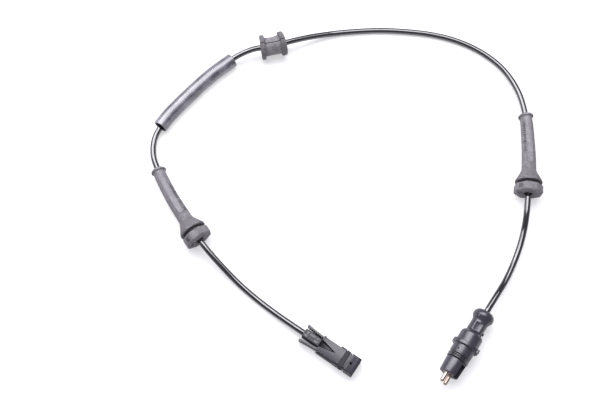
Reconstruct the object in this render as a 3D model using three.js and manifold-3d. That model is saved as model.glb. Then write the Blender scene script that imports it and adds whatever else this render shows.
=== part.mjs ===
// Wheel speed sensor with its lead: a flat sensor head, a round cable that carries two large rubber
// grommets, a loose hose and a small split grommet, and a round two-pin plug.
// Units are millimetres, +Z is up and the parts lie on the plane Z = 0. The head's middle is over the
// origin with its sensing tip towards +X, and the plug at the cable's other end points to -Y.

import * as THREE from 'three';
import { mergeVertices } from 'three/addons/utils/BufferGeometryUtils.js';
import Module from 'manifold-3d';

const wasm = await Module();
wasm.setup();

// Clearances, and how far joined shapes reach into each other and cutting shapes run past
const FIT_GAP = 0.3;
const WINDING_GAP = 0.15;
const REST_GAP = 0.05;
const ROOT = 1;
const OVERCUT = 1;

// Sensor housing, from the tip backwards
const HEAD_LENGTH = 49.4;
const HEAD_WIDTH = 15.2;
const HEAD_THICKNESS = 12;
const HEAD_CORNER = 1.6;
const TIP_EDGE = 0.7;
const FRONT_BLOCK_LENGTH = 8.1;
const TIP_SLOPE_LENGTH = 3.8;
const TIP_SLOPE_DROP = 1.5;
const RIB_GAP = 0.5;
const RIB_LENGTH = 0.9;
const RIB_DEPTH = 0.3;
const SEAL_GROOVE_LENGTH = 3.9;
const SEAL_GROOVE_DEPTH = 1.1;
const SEAL_RECESS = 0.15;
const SEAL_EDGE = 0.3;
const SHOULDER_LENGTH = 5;
const SHOULDER_EDGE = 0.4;
const LEG_LENGTH = 15.3;
const LEG_SPAN = 12.7;
const BASE_WIDTH = 14.4;
const BASE_HEIGHT = 6.2;
const V_DEPTH = 0.7;
const V_REAR_DEPTH = 2.6;
const V_WIDTH = 6.6;
const V_SETBACK = 1;
const WELL_RING_SETBACK = 5.7;
const WELL_RING_DIAMETER = 5.2;
const WELL_RING_WIDTH = 0.8;
const WELL_RING_HEIGHT = 0.4;
const WELL_DIAMETER = 2;
const WELL_DEPTH = 1.8;

// Spring wings
const WING_THICKNESS = 1.8;
const WING_HEIGHT = 9.6;
const WING_ROOT_OUT = 6.2;
const WING_FLARE = 1.3;
const WING_TOOTH_COUNT = 9;
const WING_TOOTH_DEPTH = 0.45;
const WING_OUTER_TOOTH_DEPTH = 0.3;
const KNUCKLE_RADIUS = 1;
const KNUCKLE_SETBACK = 0.7;

// Cavity of the housing and the sensing parts in it
const CAVITY_WIDTH = 9.6;
const CAVITY_HEIGHT = 6.4;
const CAVITY_CORNER = 0.4;
const TIP_WALL = 1.6;
const BOBBIN_LENGTH = 14;
const BOBBIN_FLANGE = 0.8;
const BOBBIN_WALL = 0.4;
const BOBBIN_SETBACK = 0.8;
const POLE_DIAMETER = 2;
const MAGNET_DIAMETER = 3.8;
const MAGNET_LENGTH = 5;
const TERMINAL_WIDTH = 1;
const TERMINAL_THICKNESS = 0.6;
const TERMINAL_SPACING = 5.6;
const WIRE_DIAMETER = 1.4;
const WIRE_SPACING = 1.9;
const WIRE_STRAIGHT = 2;
const WIRE_SIDES = 8;
const WIRE_STEPS = 9;

// Cable-end overmould between the wings
const OVERMOULD_WIDTH = 7.4;
const OVERMOULD_HEIGHT = 9.4;
const OVERMOULD_CORNER = 1.2;
const OVERMOULD_EDGE = 0.4;
const OVERMOULD_SETBACK = 0.3;
const SPIGOT_LENGTH = 8;
const JACKET_GRIP = 11.4;
const CHANNEL_HEIGHT = 2.2;
const PAD_SETBACK = 1;
const PAD_LENGTH = 3;
const PAD_WIDTH = 1.8;
const PAD_HEIGHT = 0.4;
const PAD_PITCH = 4.6;
const PAD_ROW_OFFSET = 1.3;
const PAD_COUNT = 3;

// Cable
const CABLE_DIAMETER = 5;
const CABLE_SIDES = 10;
const CABLE_STEPS = 80;
const CABLE_STRAIGHT = 4;

// Large grommets, from the collar's front face to the end lip
const COLLAR_ACROSS_FLATS = 22.4;
const COLLAR_LENGTH = 7;
const COLLAR_BEVEL = 0.8;
const COLLAR_REAR_BEVEL = 0.4;
const COLLAR_SIDES = 8;
const COUNTERBORE_DIAMETER = 7.4;
const COUNTERBORE_DEPTH = 2;
const BRACKET_GROOVE_WIDTH = 2.8;
const BRACKET_GROOVE_DIAMETER = 16.6;
const CONE_DIAMETER = 22.4;
const CONE_RIM = 1.5;
const CONE_EDGE = 0.4;
const CONE_LENGTH = 10;
const CONE_WAIST_DIAMETER = 16.2;
const CONE_WAIST_FROM = 5.5;
const STEM_LENGTH = 50.8;
const STEM_DIAMETER = 12;
const STEM_END_DIAMETER = 10.3;
const END_LIP_DIAMETER = 12.9;
const END_LIP_LENGTH = 2.6;
const END_LIP_EDGE = 0.6;
const END_LIP_BEVEL = 1.3;
const STEM_PANEL_WIDTH = 5;
const STEM_PANEL_HEIGHT = 0.5;
const STEM_PANEL_ROOT = 1;
const STEM_PANEL_LENGTH = 46;
const LARGE_GROMMET_1_AT = 125.6;
const LARGE_GROMMET_2_AT = 713.6;

// Protective hose
const HOSE_DIAMETER = 12.6;
const HOSE_WALL = 1.5;

// Small split grommet
const SPOOL_LENGTH = 21.4;
const SPOOL_FLANGE_DIAMETER = 21.6;
const SPOOL_FLANGE_LENGTH = 3.9;
const SPOOL_BODY_DIAMETER = 16.6;
const SPOOL_EDGE = 0.5;
const SPOOL_SLIT_WIDTH = 0.6;
const SPOOL_SLIT_TURN = THREE.MathUtils.degToRad(7);
const SPOOL_AT = 359;

// Plug, measured along its axis from the rear of the boot towards the pins
const PLUG_X = 85.4;
const PLUG_REAR_Y = 93.6;
const PLUG_ROLL = THREE.MathUtils.degToRad(33);
const BULB_LENGTH = 10.6;
const BULB_DIAMETER = 17.2;
const BULB_FACE_DIAMETER = 9.6;
const BULB_CREST_FROM = 4.8;
const NECK_LENGTH = 9;
const NECK_DIAMETER = 13;
const NECK_PAD_LENGTH = 7.4;
const NECK_PAD_WIDTH = 6;
const NECK_PAD_DEPTH = 0.7;
const NUB_DIAMETER = 2.6;
const NUB_HEIGHT = 0.9;
const NUB_SETBACK = 2.6;
const PLUG_SPIGOT_DIAMETER = 10.6;
const PLUG_SPIGOT_LENGTH = 6.4;
const PLUG_JACKET_GRIP = 24;
const SHOULDER_FLARE = 3;
const SHOULDER_TURN_DIAMETER = 17.2;
const SHOULDER_TURN_FROM = 1.8;
const BARREL_REAR_DIAMETER = 18.2;
const BARREL_REAR_LENGTH = 11;
const FLANGE_DIAMETER = 22;
const FLANGE_LENGTH = 3.2;
const FLANGE_EDGE = 0.4;
const TAB_WIDTH = 2.4;
const TAB_HEIGHT = 1.4;
const LUG_WIDTH = 2.6;
const LUG_HEIGHT = 1.3;
const LUG_LENGTH = 0.5;
const BARREL_DIAMETER = 17.6;
const BARREL_LENGTH = 6.4;
const BARREL_LIP_LENGTH = 1.2;
const BARREL_LIP_DEPTH = 0.3;
const SEAL_SEAT_LENGTH = 4.4;
const SEAL_SEAT_DIAMETER = 14.6;
const NOSE_LENGTH = 12.3;
const NOSE_REAR_DIAMETER = 16.6;
const NOSE_FRONT_DIAMETER = 15.4;
const NOSE_EDGE = 0.5;
const PLUG_BORE_DIAMETER = 11.2;
const NOSE_WALL = 14;
const KEY_SLOT_WIDTH = 5.8;
const KEY_SLOT_FLOOR = 4.2;
const KEY_SLOT_LENGTH = 11.2;
const SEAL_DIAMETER = 17.8;
const SEAL_LIP_COUNT = 2;
const SEAL_LIP_DEPTH = 0.5;
const SEAL_LIP_CREST = 0.8;

// Contacts
const PIN_DIAMETER = 3.2;
const PIN_SPACING = 6.8;
const PIN_REACH = 8.4;
const PIN_COLLAR_DIAMETER = 4.4;
const PIN_COLLAR_LENGTH = 1.4;
const PIN_TAIL_LENGTH = 5;
const PIN_TAIL_DIAMETER = 2.6;
const RETAINER_LENGTH = 3;

// Hand-chosen points of the cable's centre line between the head and the plug
const CABLE_ROUTE = [
  [-53, 0.6, 3.6], [-74, 2, 2.6], [-95, 4.6, 4.3], [-131, 12.4, 11.2], [-162, 24.2, 10.6],
  [-180, 32.1, 8.8], [-203, 44.5, 6.9], [-215.5, 53.5, 5.9], [-224.5, 66.5, 4.9], [-227.4, 82, 4.5],
  [-224, 120.5, 4.5], [-220, 144, 5.5], [-214, 165.5, 7.7], [-204, 182, 10.6], [-190.5, 195.5, 11.1],
  [-184, 203.5, 11.1], [-171.5, 221, 7.8], [-157, 238.8, 3.4], [-139.5, 254.3, 2.6], [-121, 268, 2.6],
  [-101, 280, 2.6], [-80.5, 290, 2.6], [-58, 296.9, 2.6], [-35, 298.9, 2.6], [-12, 294.8, 3.3],
  [10, 282.2, 5.3], [26.5, 265, 7], [40.3, 244, 8.7], [52.6, 222.4, 10.6], [69.8, 188.4, 10.7],
  [77.8, 170, 6.2], [83, 150, 3.8], [85.6, 128, 5.2], [85.5, 110, 9.5],
];

// Hand-chosen points of the hose's centre line; it lies on the ground with the cable loose in it
const HOSE_ROUTE = [
  [-227.2, 78], [-227.3, 90], [-226.5, 100], [-224, 120.5], [-220, 144], [-214, 165.5],
];

// Facets round turned pieces, and the longest facet along a bent one
const TURN_SEGMENTS = 24;
const PLUG_SEGMENTS = 24;
const HOSE_SEGMENTS = 18;
const SMALL_SEGMENTS = 16;
const TINY_SEGMENTS = 12;
const BEND_STEP = 12;

const X = new THREE.Vector3(1, 0, 0);
const Y = new THREE.Vector3(0, 1, 0);
const Z = new THREE.Vector3(0, 0, 1);

// Places along the head
const tipX = HEAD_LENGTH / 2;
const rearX = -HEAD_LENGTH / 2;
const blockRearX = tipX - FRONT_BLOCK_LENGTH;
const ribFrontX = blockRearX - RIB_GAP;
const ribRearX = ribFrontX - RIB_LENGTH;
const shoulderFrontX = ribRearX - SEAL_GROOVE_LENGTH;
const shoulderRearX = shoulderFrontX - SHOULDER_LENGTH;
const housingRearX = shoulderRearX - LEG_LENGTH;
const headAxisZ = HEAD_THICKNESS / 2;
const cavityFrontX = tipX - TIP_WALL;
const jacketEndX = rearX + OVERMOULD_SETBACK + JACKET_GRIP;
const spigotFrontX = housingRearX + SPIGOT_LENGTH;
const bobbinFrontX = cavityFrontX - BOBBIN_SETBACK;
const bobbinRearX = bobbinFrontX - BOBBIN_LENGTH;

// Places along the plug
const neckFrontW = BULB_LENGTH + NECK_LENGTH;
const flangeRearW = neckFrontW + BARREL_REAR_LENGTH;
const flangeFrontW = flangeRearW + FLANGE_LENGTH;
const barrelFrontW = flangeFrontW + BARREL_LENGTH;
const lipFrontW = barrelFrontW + BARREL_LIP_LENGTH;
const noseRearW = lipFrontW + SEAL_SEAT_LENGTH;
const noseFrontW = noseRearW + NOSE_LENGTH;
const boreEndW = noseFrontW - NOSE_WALL;
const plugZ = FLANGE_DIAMETER / 2 + REST_GAP;

// Merges shared vertices, drops the flat slivers that this leaves and turns the skin right side out
function weld(geometry) {
  const bare = geometry.clone();
  bare.deleteAttribute('normal');
  bare.deleteAttribute('uv');
  const merged = mergeVertices(bare, 1e-4);
  const index = merged.index.array;
  const point = [new THREE.Vector3(), new THREE.Vector3(), new THREE.Vector3()];
  const kept = [];
  let volume = 0;
  for (let i = 0; i < index.length; i += 3) {
    const [a, b, c] = [index[i], index[i + 1], index[i + 2]];
    if (a === b || b === c || c === a) continue;
    kept.push(a, b, c);
    [a, b, c].forEach((v, k) => point[k].fromBufferAttribute(merged.attributes.position, v));
    volume += point[0].dot(point[1].cross(point[2]));
  }
  if (volume < 0) kept.reverse();
  merged.setIndex(kept);
  return merged;
}

function toSolid(geometry) {
  const welded = weld(geometry);
  return new wasm.Manifold(new wasm.Mesh({
    numProp: 3,
    vertProperties: new Float32Array(welded.attributes.position.array),
    triVerts: new Uint32Array(welded.index.array),
  }));
}

function toGeometry(solid) {
  const mesh = solid.getMesh();
  const geometry = new THREE.BufferGeometry();
  geometry.setAttribute('position', new THREE.BufferAttribute(mesh.vertProperties, 3));
  geometry.setIndex(new THREE.BufferAttribute(mesh.triVerts, 1));
  return geometry;
}

// Joins the added shapes, then cuts the others out of them
function shape(added, removed = []) {
  let solid = toSolid(added[0]);
  for (const geometry of added.slice(1)) solid = solid.add(toSolid(geometry));
  for (const geometry of removed) solid = solid.subtract(toSolid(geometry));
  return toGeometry(solid);
}

function roundedRectangle(width, height, radius) {
  const outline = new THREE.Shape();
  const x = width / 2 - radius;
  const y = height / 2 - radius;
  outline.absarc(x, y, radius, 0, Math.PI / 2);
  outline.absarc(-x, y, radius, Math.PI / 2, Math.PI);
  outline.absarc(-x, -y, radius, Math.PI, Math.PI * 1.5);
  outline.absarc(x, -y, radius, Math.PI * 1.5, Math.PI * 2);
  return outline;
}

// A bar along X with a rounded section; edge softens the rims of its two ends
function bar(fromX, toX, width, height, middleZ, radius, edge = 0) {
  const geometry = new THREE.ExtrudeGeometry(roundedRectangle(width, height, radius), {
    depth: toX - fromX - 2 * edge,
    bevelEnabled: edge > 0,
    bevelThickness: edge,
    bevelSize: edge,
    bevelOffset: -edge,
    bevelSegments: 2,
    curveSegments: 3,
  });
  geometry.translate(0, 0, edge);
  geometry.applyMatrix4(new THREE.Matrix4().makeBasis(Y, Z, X));
  return geometry.translate(fromX, 0, middleZ);
}

function block(fromX, toX, width, fromZ, toZ, middleY = 0) {
  const geometry = new THREE.BoxGeometry(toX - fromX, width, toZ - fromZ);
  return geometry.translate((fromX + toX) / 2, middleY, (fromZ + toZ) / 2);
}

// An outline in the XY plane made thick in Z
function plate(outline, fromZ, toZ) {
  const geometry = new THREE.ExtrudeGeometry(outline, {
    depth: toZ - fromZ, bevelEnabled: false, curveSegments: 4,
  });
  return geometry.translate(0, 0, fromZ);
}

// A closed profile of [radius, height] pairs turned about Z, with a flat facing down
function turned(profile, segments = TURN_SEGMENTS) {
  const points = profile.map(([radius, height]) => new THREE.Vector2(radius, height));
  points.push(points[0].clone());
  const geometry = new THREE.LatheGeometry(points, segments, Math.PI / COLLAR_SIDES);
  return geometry.rotateX(Math.PI / 2);
}

// The same, turned about the head's long axis and starting at fromX
function turnedAlongX(profile, fromX, segments = SMALL_SEGMENTS) {
  const geometry = turned(profile, segments);
  geometry.applyMatrix4(new THREE.Matrix4().makeBasis(Y, Z, X));
  return geometry.translate(fromX, 0, headAxisZ);
}

function rod(diameter, length) {
  return [[0, 0], [diameter / 2, 0], [diameter / 2, length], [0, length]];
}

// An S-shaped fall between two [radius, height] pairs
function fall(from, to) {
  return [0, 1, 2, 3, 4, 5].map((i) => {
    const share = (1 - Math.cos(Math.PI * i / 5)) / 2;
    return [THREE.MathUtils.lerp(from[0], to[0], share), THREE.MathUtils.lerp(from[1], to[1], i / 5)];
  });
}

// A rounding between two [radius, height] pairs that leaves the first one along the axis
function quarter(from, to) {
  return [0, 1, 2, 3].map((i) => {
    const angle = i * Math.PI / 6;
    return [
      to[0] + (from[0] - to[0]) * Math.cos(angle),
      from[1] + (to[1] - from[1]) * Math.sin(angle),
    ];
  });
}

function tube(curve, diameter, sides, steps) {
  const section = new THREE.Shape();
  for (let i = 0; i < sides; i++) {
    const angle = (i + 0.5) / sides * Math.PI * 2;
    const place = [Math.cos(angle) * diameter / 2, Math.sin(angle) * diameter / 2];
    if (i === 0) section.moveTo(...place);
    else section.lineTo(...place);
  }
  return new THREE.ExtrudeGeometry(section, { steps, bevelEnabled: false, extrudePath: curve });
}

// Carries a shape built along Z onto a curve, with its Y side kept up; it starts at the given
// distance along the curve and runs backwards where reversed
function bend(geometry, curve, at, reversed = false) {
  const bent = weld(geometry);
  const place = bent.attributes.position;
  const length = curve.getLength();
  const point = new THREE.Vector3();
  for (let i = 0; i < place.count; i++) {
    point.fromBufferAttribute(place, i);
    const along = at + (reversed ? -point.z : point.z);
    const u = THREE.MathUtils.clamp(along / length, 0, 1);
    const ahead = curve.getTangentAt(u).multiplyScalar(reversed ? -1 : 1);
    const side = new THREE.Vector3().crossVectors(Z, ahead).normalize();
    const top = new THREE.Vector3().crossVectors(ahead, side);
    const moved = curve.getPointAt(u).addScaledVector(side, point.x).addScaledVector(top, point.y);
    place.setXYZ(i, moved.x, moved.y, moved.z);
  }
  return bent;
}

// Points of a profile between two ends, close enough together to follow a bend
function spread(from, to) {
  const count = Math.ceil(Math.abs(to[1] - from[1]) / BEND_STEP);
  return Array.from({ length: count + 1 }, (unused, i) => [
    THREE.MathUtils.lerp(from[0], to[0], i / count),
    THREE.MathUtils.lerp(from[1], to[1], i / count),
  ]);
}

function finish(color, roughness, metalness = 0) {
  return new THREE.MeshStandardMaterial({ color, roughness, metalness });
}

const materials = {
  headPlastic: finish(0x4a4850, 0.5),
  overmould: finish(0x55535b, 0.55),
  sealRubber: finish(0x2b2b30, 0.8),
  bobbinPlastic: finish(0xb9ae8f, 0.5),
  copper: finish(0x9c4f24, 0.35, 1),
  iron: finish(0x6f7176, 0.45, 1),
  magnet: finish(0x3c3d42, 0.4, 0.8),
  tinned: finish(0xb8b9ba, 0.35, 1),
  whiteWire: finish(0xd9d5c8, 0.5),
  blackWire: finish(0x202024, 0.5),
  jacket: finish(0x111114, 0.25),
  grommetRubber: finish(0x8e8a8f, 0.85),
  hosePlastic: finish(0x47474e, 0.45),
  plugPlastic: finish(0x2f2f35, 0.45),
  contact: finish(0xc79a5b, 0.25, 1),
};

function add(parent, name, geometry, material) {
  geometry.computeVertexNormals();
  const mesh = new THREE.Mesh(geometry, material);
  mesh.name = name;
  parent.add(mesh);
  return mesh;
}

// Sensor housing: one moulding, open at the rear; its wings are ribbed inside and out
function wing(side) {
  const rootX = housingRearX + KNUCKLE_SETBACK + KNUCKLE_RADIUS;
  const length = rootX - rearX;
  const outerY = (t) => WING_ROOT_OUT + WING_FLARE * t * t;
  const steps = WING_TOOTH_COUNT * 2;
  const outline = new THREE.Shape();
  outline.moveTo(rootX, side * outerY(0));
  for (let i = 1; i <= steps; i++) {
    const t = i / steps;
    const tooth = i % 2 === 1 ? WING_OUTER_TOOTH_DEPTH : 0;
    outline.lineTo(rootX - length * t, side * (outerY(t) - tooth));
  }
  for (let i = steps; i >= 0; i--) {
    const t = i / steps;
    const tooth = i % 2 === 1 ? WING_TOOTH_DEPTH : 0;
    outline.lineTo(rootX - length * t, side * (outerY(t) - WING_THICKNESS + tooth));
  }
  return plate(outline, headAxisZ - WING_HEIGHT / 2, headAxisZ + WING_HEIGHT / 2);
}

function knuckle(side) {
  const geometry = new THREE.CylinderGeometry(KNUCKLE_RADIUS, KNUCKLE_RADIUS, WING_HEIGHT, TINY_SEGMENTS);
  geometry.rotateX(Math.PI / 2);
  return geometry.translate(housingRearX + KNUCKLE_SETBACK, side * WING_ROOT_OUT, headAxisZ);
}

// V-shaped recess between the legs; its floor falls towards the rear
function vRecess() {
  const outline = new THREE.Shape();
  const mouth = V_WIDTH / 2;
  outline.moveTo(housingRearX, -mouth);
  outline.lineTo(shoulderRearX - V_SETBACK, 0);
  outline.lineTo(housingRearX, mouth);
  outline.lineTo(housingRearX - OVERCUT, mouth);
  outline.lineTo(housingRearX - OVERCUT, -mouth);
  const recess = plate(outline, HEAD_THICKNESS - V_DEPTH, HEAD_THICKNESS + OVERCUT);
  const place = recess.attributes.position;
  const pointX = shoulderRearX - V_SETBACK;
  for (let i = 0; i < place.count; i++) {
    if (place.getZ(i) > HEAD_THICKNESS) continue;
    const rearward = (pointX - place.getX(i)) / (pointX - housingRearX);
    place.setZ(i, HEAD_THICKNESS - THREE.MathUtils.lerp(V_DEPTH, V_REAR_DEPTH, rearward));
  }
  return recess;
}

function tipSlope() {
  const outline = new THREE.Shape();
  outline.moveTo(tipX - TIP_SLOPE_LENGTH, HEAD_THICKNESS);
  outline.lineTo(tipX, HEAD_THICKNESS - TIP_SLOPE_DROP);
  outline.lineTo(tipX + OVERCUT, HEAD_THICKNESS - TIP_SLOPE_DROP);
  outline.lineTo(tipX + OVERCUT, HEAD_THICKNESS + OVERCUT);
  outline.lineTo(tipX - TIP_SLOPE_LENGTH, HEAD_THICKNESS + OVERCUT);
  const geometry = plate(outline, 0, HEAD_WIDTH);
  geometry.applyMatrix4(new THREE.Matrix4().makeBasis(X, Z, Y.clone().negate()));
  return geometry.translate(0, HEAD_WIDTH / 2, 0);
}

function sensorHousing() {
  const wellX = tipX - WELL_RING_SETBACK;
  const ringOuter = WELL_RING_DIAMETER / 2;
  const ringInner = ringOuter - WELL_RING_WIDTH;
  const ringTop = HEAD_THICKNESS + WELL_RING_HEIGHT;
  const ringFoot = HEAD_THICKNESS - ROOT;
  const ring = turned([
    [ringInner, ringFoot], [ringOuter, ringFoot], [ringOuter, ringTop], [ringInner, ringTop],
  ]);
  const well = turned(rod(WELL_DIAMETER, WELL_DEPTH + OVERCUT), TINY_SEGMENTS);
  const coreWidth = HEAD_WIDTH - 2 * SEAL_GROOVE_DEPTH;
  const coreHeight = HEAD_THICKNESS - 2 * SEAL_GROOVE_DEPTH;
  const ribWidth = HEAD_WIDTH - 2 * RIB_DEPTH;
  const ribHeight = HEAD_THICKNESS - 2 * RIB_DEPTH;
  return shape([
    bar(blockRearX, tipX, HEAD_WIDTH, HEAD_THICKNESS, headAxisZ, HEAD_CORNER, TIP_EDGE),
    bar(shoulderRearX, tipX - TIP_SLOPE_LENGTH, coreWidth, coreHeight, headAxisZ, HEAD_CORNER),
    bar(ribRearX, ribFrontX, ribWidth, ribHeight, headAxisZ, HEAD_CORNER),
    bar(shoulderRearX, shoulderFrontX, HEAD_WIDTH, HEAD_THICKNESS, headAxisZ, HEAD_CORNER, SHOULDER_EDGE),
    block(housingRearX, shoulderRearX + ROOT, LEG_SPAN, 0, HEAD_THICKNESS),
    block(housingRearX, shoulderRearX + ROOT, BASE_WIDTH, 0, BASE_HEIGHT),
    wing(1), wing(-1), knuckle(1), knuckle(-1),
    ring.translate(wellX, 0, 0),
  ], [
    bar(housingRearX - OVERCUT, cavityFrontX, CAVITY_WIDTH, CAVITY_HEIGHT, headAxisZ, CAVITY_CORNER),
    vRecess(),
    tipSlope(),
    well.translate(wellX, 0, HEAD_THICKNESS - WELL_DEPTH),
  ]);
}

// Rubber band in the groove behind the rib
function headSeal() {
  const fromX = shoulderFrontX + FIT_GAP;
  const toX = ribRearX - FIT_GAP;
  const innerWidth = HEAD_WIDTH - 2 * SEAL_GROOVE_DEPTH + 2 * FIT_GAP;
  const innerHeight = HEAD_THICKNESS - 2 * SEAL_GROOVE_DEPTH + 2 * FIT_GAP;
  const outerWidth = HEAD_WIDTH - 2 * SEAL_RECESS;
  const outerHeight = HEAD_THICKNESS - 2 * SEAL_RECESS;
  return shape(
    [bar(fromX, toX, outerWidth, outerHeight, headAxisZ, HEAD_CORNER, SEAL_EDGE)],
    [bar(fromX - OVERCUT, toX + OVERCUT, innerWidth, innerHeight, headAxisZ, HEAD_CORNER)],
  );
}

// Overmould: holds the cable's end, with raised pads on top and a spigot in the housing
function overmould() {
  const bodyRearX = rearX + OVERMOULD_SETBACK;
  const bodyFrontX = housingRearX - FIT_GAP;
  const topZ = headAxisZ + OVERMOULD_HEIGHT / 2;
  const pads = [];
  for (let i = 0; i < PAD_COUNT; i++) {
    const fromX = bodyRearX + PAD_SETBACK + i * PAD_PITCH;
    const row = i % 2 === 0 ? -PAD_ROW_OFFSET : PAD_ROW_OFFSET;
    pads.push(block(fromX, fromX + PAD_LENGTH, PAD_WIDTH, topZ - ROOT, topZ + PAD_HEIGHT, row));
  }
  const spigotWidth = CAVITY_WIDTH - 2 * FIT_GAP;
  const spigotHeight = CAVITY_HEIGHT - 2 * FIT_GAP;
  const wireRoom = WIRE_SPACING + WIRE_DIAMETER + 2 * FIT_GAP;
  const terminalRoom = TERMINAL_SPACING + WIRE_DIAMETER + 2 * FIT_GAP;
  const boreProfile = rod(CABLE_DIAMETER + 2 * FIT_GAP, OVERCUT + JACKET_GRIP + FIT_GAP);
  const jacketBore = turnedAlongX(boreProfile, bodyRearX - OVERCUT, TURN_SEGMENTS);
  const channelFromZ = headAxisZ - CHANNEL_HEIGHT / 2;
  const channelToZ = headAxisZ + CHANNEL_HEIGHT / 2;
  return shape([
    bar(
      bodyRearX, bodyFrontX, OVERMOULD_WIDTH, OVERMOULD_HEIGHT, headAxisZ, OVERMOULD_CORNER, OVERMOULD_EDGE,
    ),
    bar(bodyFrontX - ROOT, spigotFrontX, spigotWidth, spigotHeight, headAxisZ, CAVITY_CORNER),
    ...pads,
  ], [
    jacketBore,
    block(jacketEndX - OVERCUT, spigotFrontX + OVERCUT, wireRoom, channelFromZ, channelToZ),
    block(bodyFrontX, spigotFrontX + OVERCUT, terminalRoom, channelFromZ, channelToZ),
  ]);
}

// Bobbin, winding, pole piece, magnet and terminals inside the housing
const boreRadius = POLE_DIAMETER / 2 + FIT_GAP;
const coreRadius = boreRadius + BOBBIN_WALL;
const flangeRadius = CAVITY_HEIGHT / 2 - FIT_GAP;

function coilBobbin() {
  return weld(turnedAlongX([
    [boreRadius, 0], [flangeRadius, 0], [flangeRadius, BOBBIN_FLANGE], [coreRadius, BOBBIN_FLANGE],
    [coreRadius, BOBBIN_LENGTH - BOBBIN_FLANGE], [flangeRadius, BOBBIN_LENGTH - BOBBIN_FLANGE],
    [flangeRadius, BOBBIN_LENGTH], [boreRadius, BOBBIN_LENGTH],
  ], bobbinRearX));
}

function coilWinding() {
  const inner = coreRadius + WINDING_GAP;
  const outer = flangeRadius - FIT_GAP;
  const length = BOBBIN_LENGTH - 2 * BOBBIN_FLANGE - 2 * FIT_GAP;
  const profile = [[inner, 0], [outer, 0], [outer, length], [inner, length]];
  return weld(turnedAlongX(profile, bobbinRearX + BOBBIN_FLANGE + FIT_GAP));
}

function polePiece() {
  const length = cavityFrontX - FIT_GAP - bobbinRearX;
  return weld(turnedAlongX(rod(POLE_DIAMETER, length), bobbinRearX, TINY_SEGMENTS));
}

function magnet() {
  return weld(turnedAlongX(rod(MAGNET_DIAMETER, MAGNET_LENGTH), bobbinRearX - FIT_GAP - MAGNET_LENGTH));
}

function terminal(side) {
  const middleY = side * TERMINAL_SPACING / 2;
  const fromZ = headAxisZ - TERMINAL_THICKNESS / 2;
  const toZ = headAxisZ + TERMINAL_THICKNESS / 2;
  return weld(block(spigotFrontX, bobbinRearX - FIT_GAP, TERMINAL_WIDTH, fromZ, toZ, middleY));
}

function headWire(side) {
  const nearY = side * WIRE_SPACING / 2;
  const farY = side * TERMINAL_SPACING / 2;
  const startX = jacketEndX + FIT_GAP;
  const curve = new THREE.CatmullRomCurve3([
    new THREE.Vector3(startX, nearY, headAxisZ),
    new THREE.Vector3(housingRearX, nearY, headAxisZ),
    new THREE.Vector3(spigotFrontX - WIRE_STRAIGHT, farY, headAxisZ),
    new THREE.Vector3(spigotFrontX - FIT_GAP, farY, headAxisZ),
  ], false, 'centripetal');
  return weld(tube(curve, WIRE_DIAMETER, WIRE_SIDES, WIRE_STEPS));
}

const head = new THREE.Group();
add(head, 'sensor_housing', sensorHousing(), materials.headPlastic);
add(head, 'head_seal', headSeal(), materials.sealRubber);
add(head, 'cable_end_overmould', overmould(), materials.overmould);
add(head, 'coil_bobbin', coilBobbin(), materials.bobbinPlastic);
add(head, 'coil_winding', coilWinding(), materials.copper);
add(head, 'pole_piece', polePiece(), materials.iron);
add(head, 'magnet', magnet(), materials.magnet);
add(head, 'head_terminal_1', terminal(-1), materials.tinned);
add(head, 'head_terminal_2', terminal(1), materials.tinned);
add(head, 'head_wire_1', headWire(-1), materials.blackWire);
add(head, 'head_wire_2', headWire(1), materials.whiteWire);

// Cable: from its grip in the overmould, along the chosen points, to its grip in the plug
const cableCurve = new THREE.CatmullRomCurve3([
  new THREE.Vector3(jacketEndX, 0, headAxisZ),
  new THREE.Vector3(rearX, 0, headAxisZ),
  new THREE.Vector3(rearX - CABLE_STRAIGHT, 0, headAxisZ),
  ...CABLE_ROUTE.map((place) => new THREE.Vector3(...place)),
  new THREE.Vector3(PLUG_X, PLUG_REAR_Y + CABLE_STRAIGHT, plugZ),
  new THREE.Vector3(PLUG_X, PLUG_REAR_Y, plugZ),
  new THREE.Vector3(PLUG_X, PLUG_REAR_Y - PLUG_JACKET_GRIP, plugZ),
], false, 'centripetal');
cableCurve.arcLengthDivisions = 2000;

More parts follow.
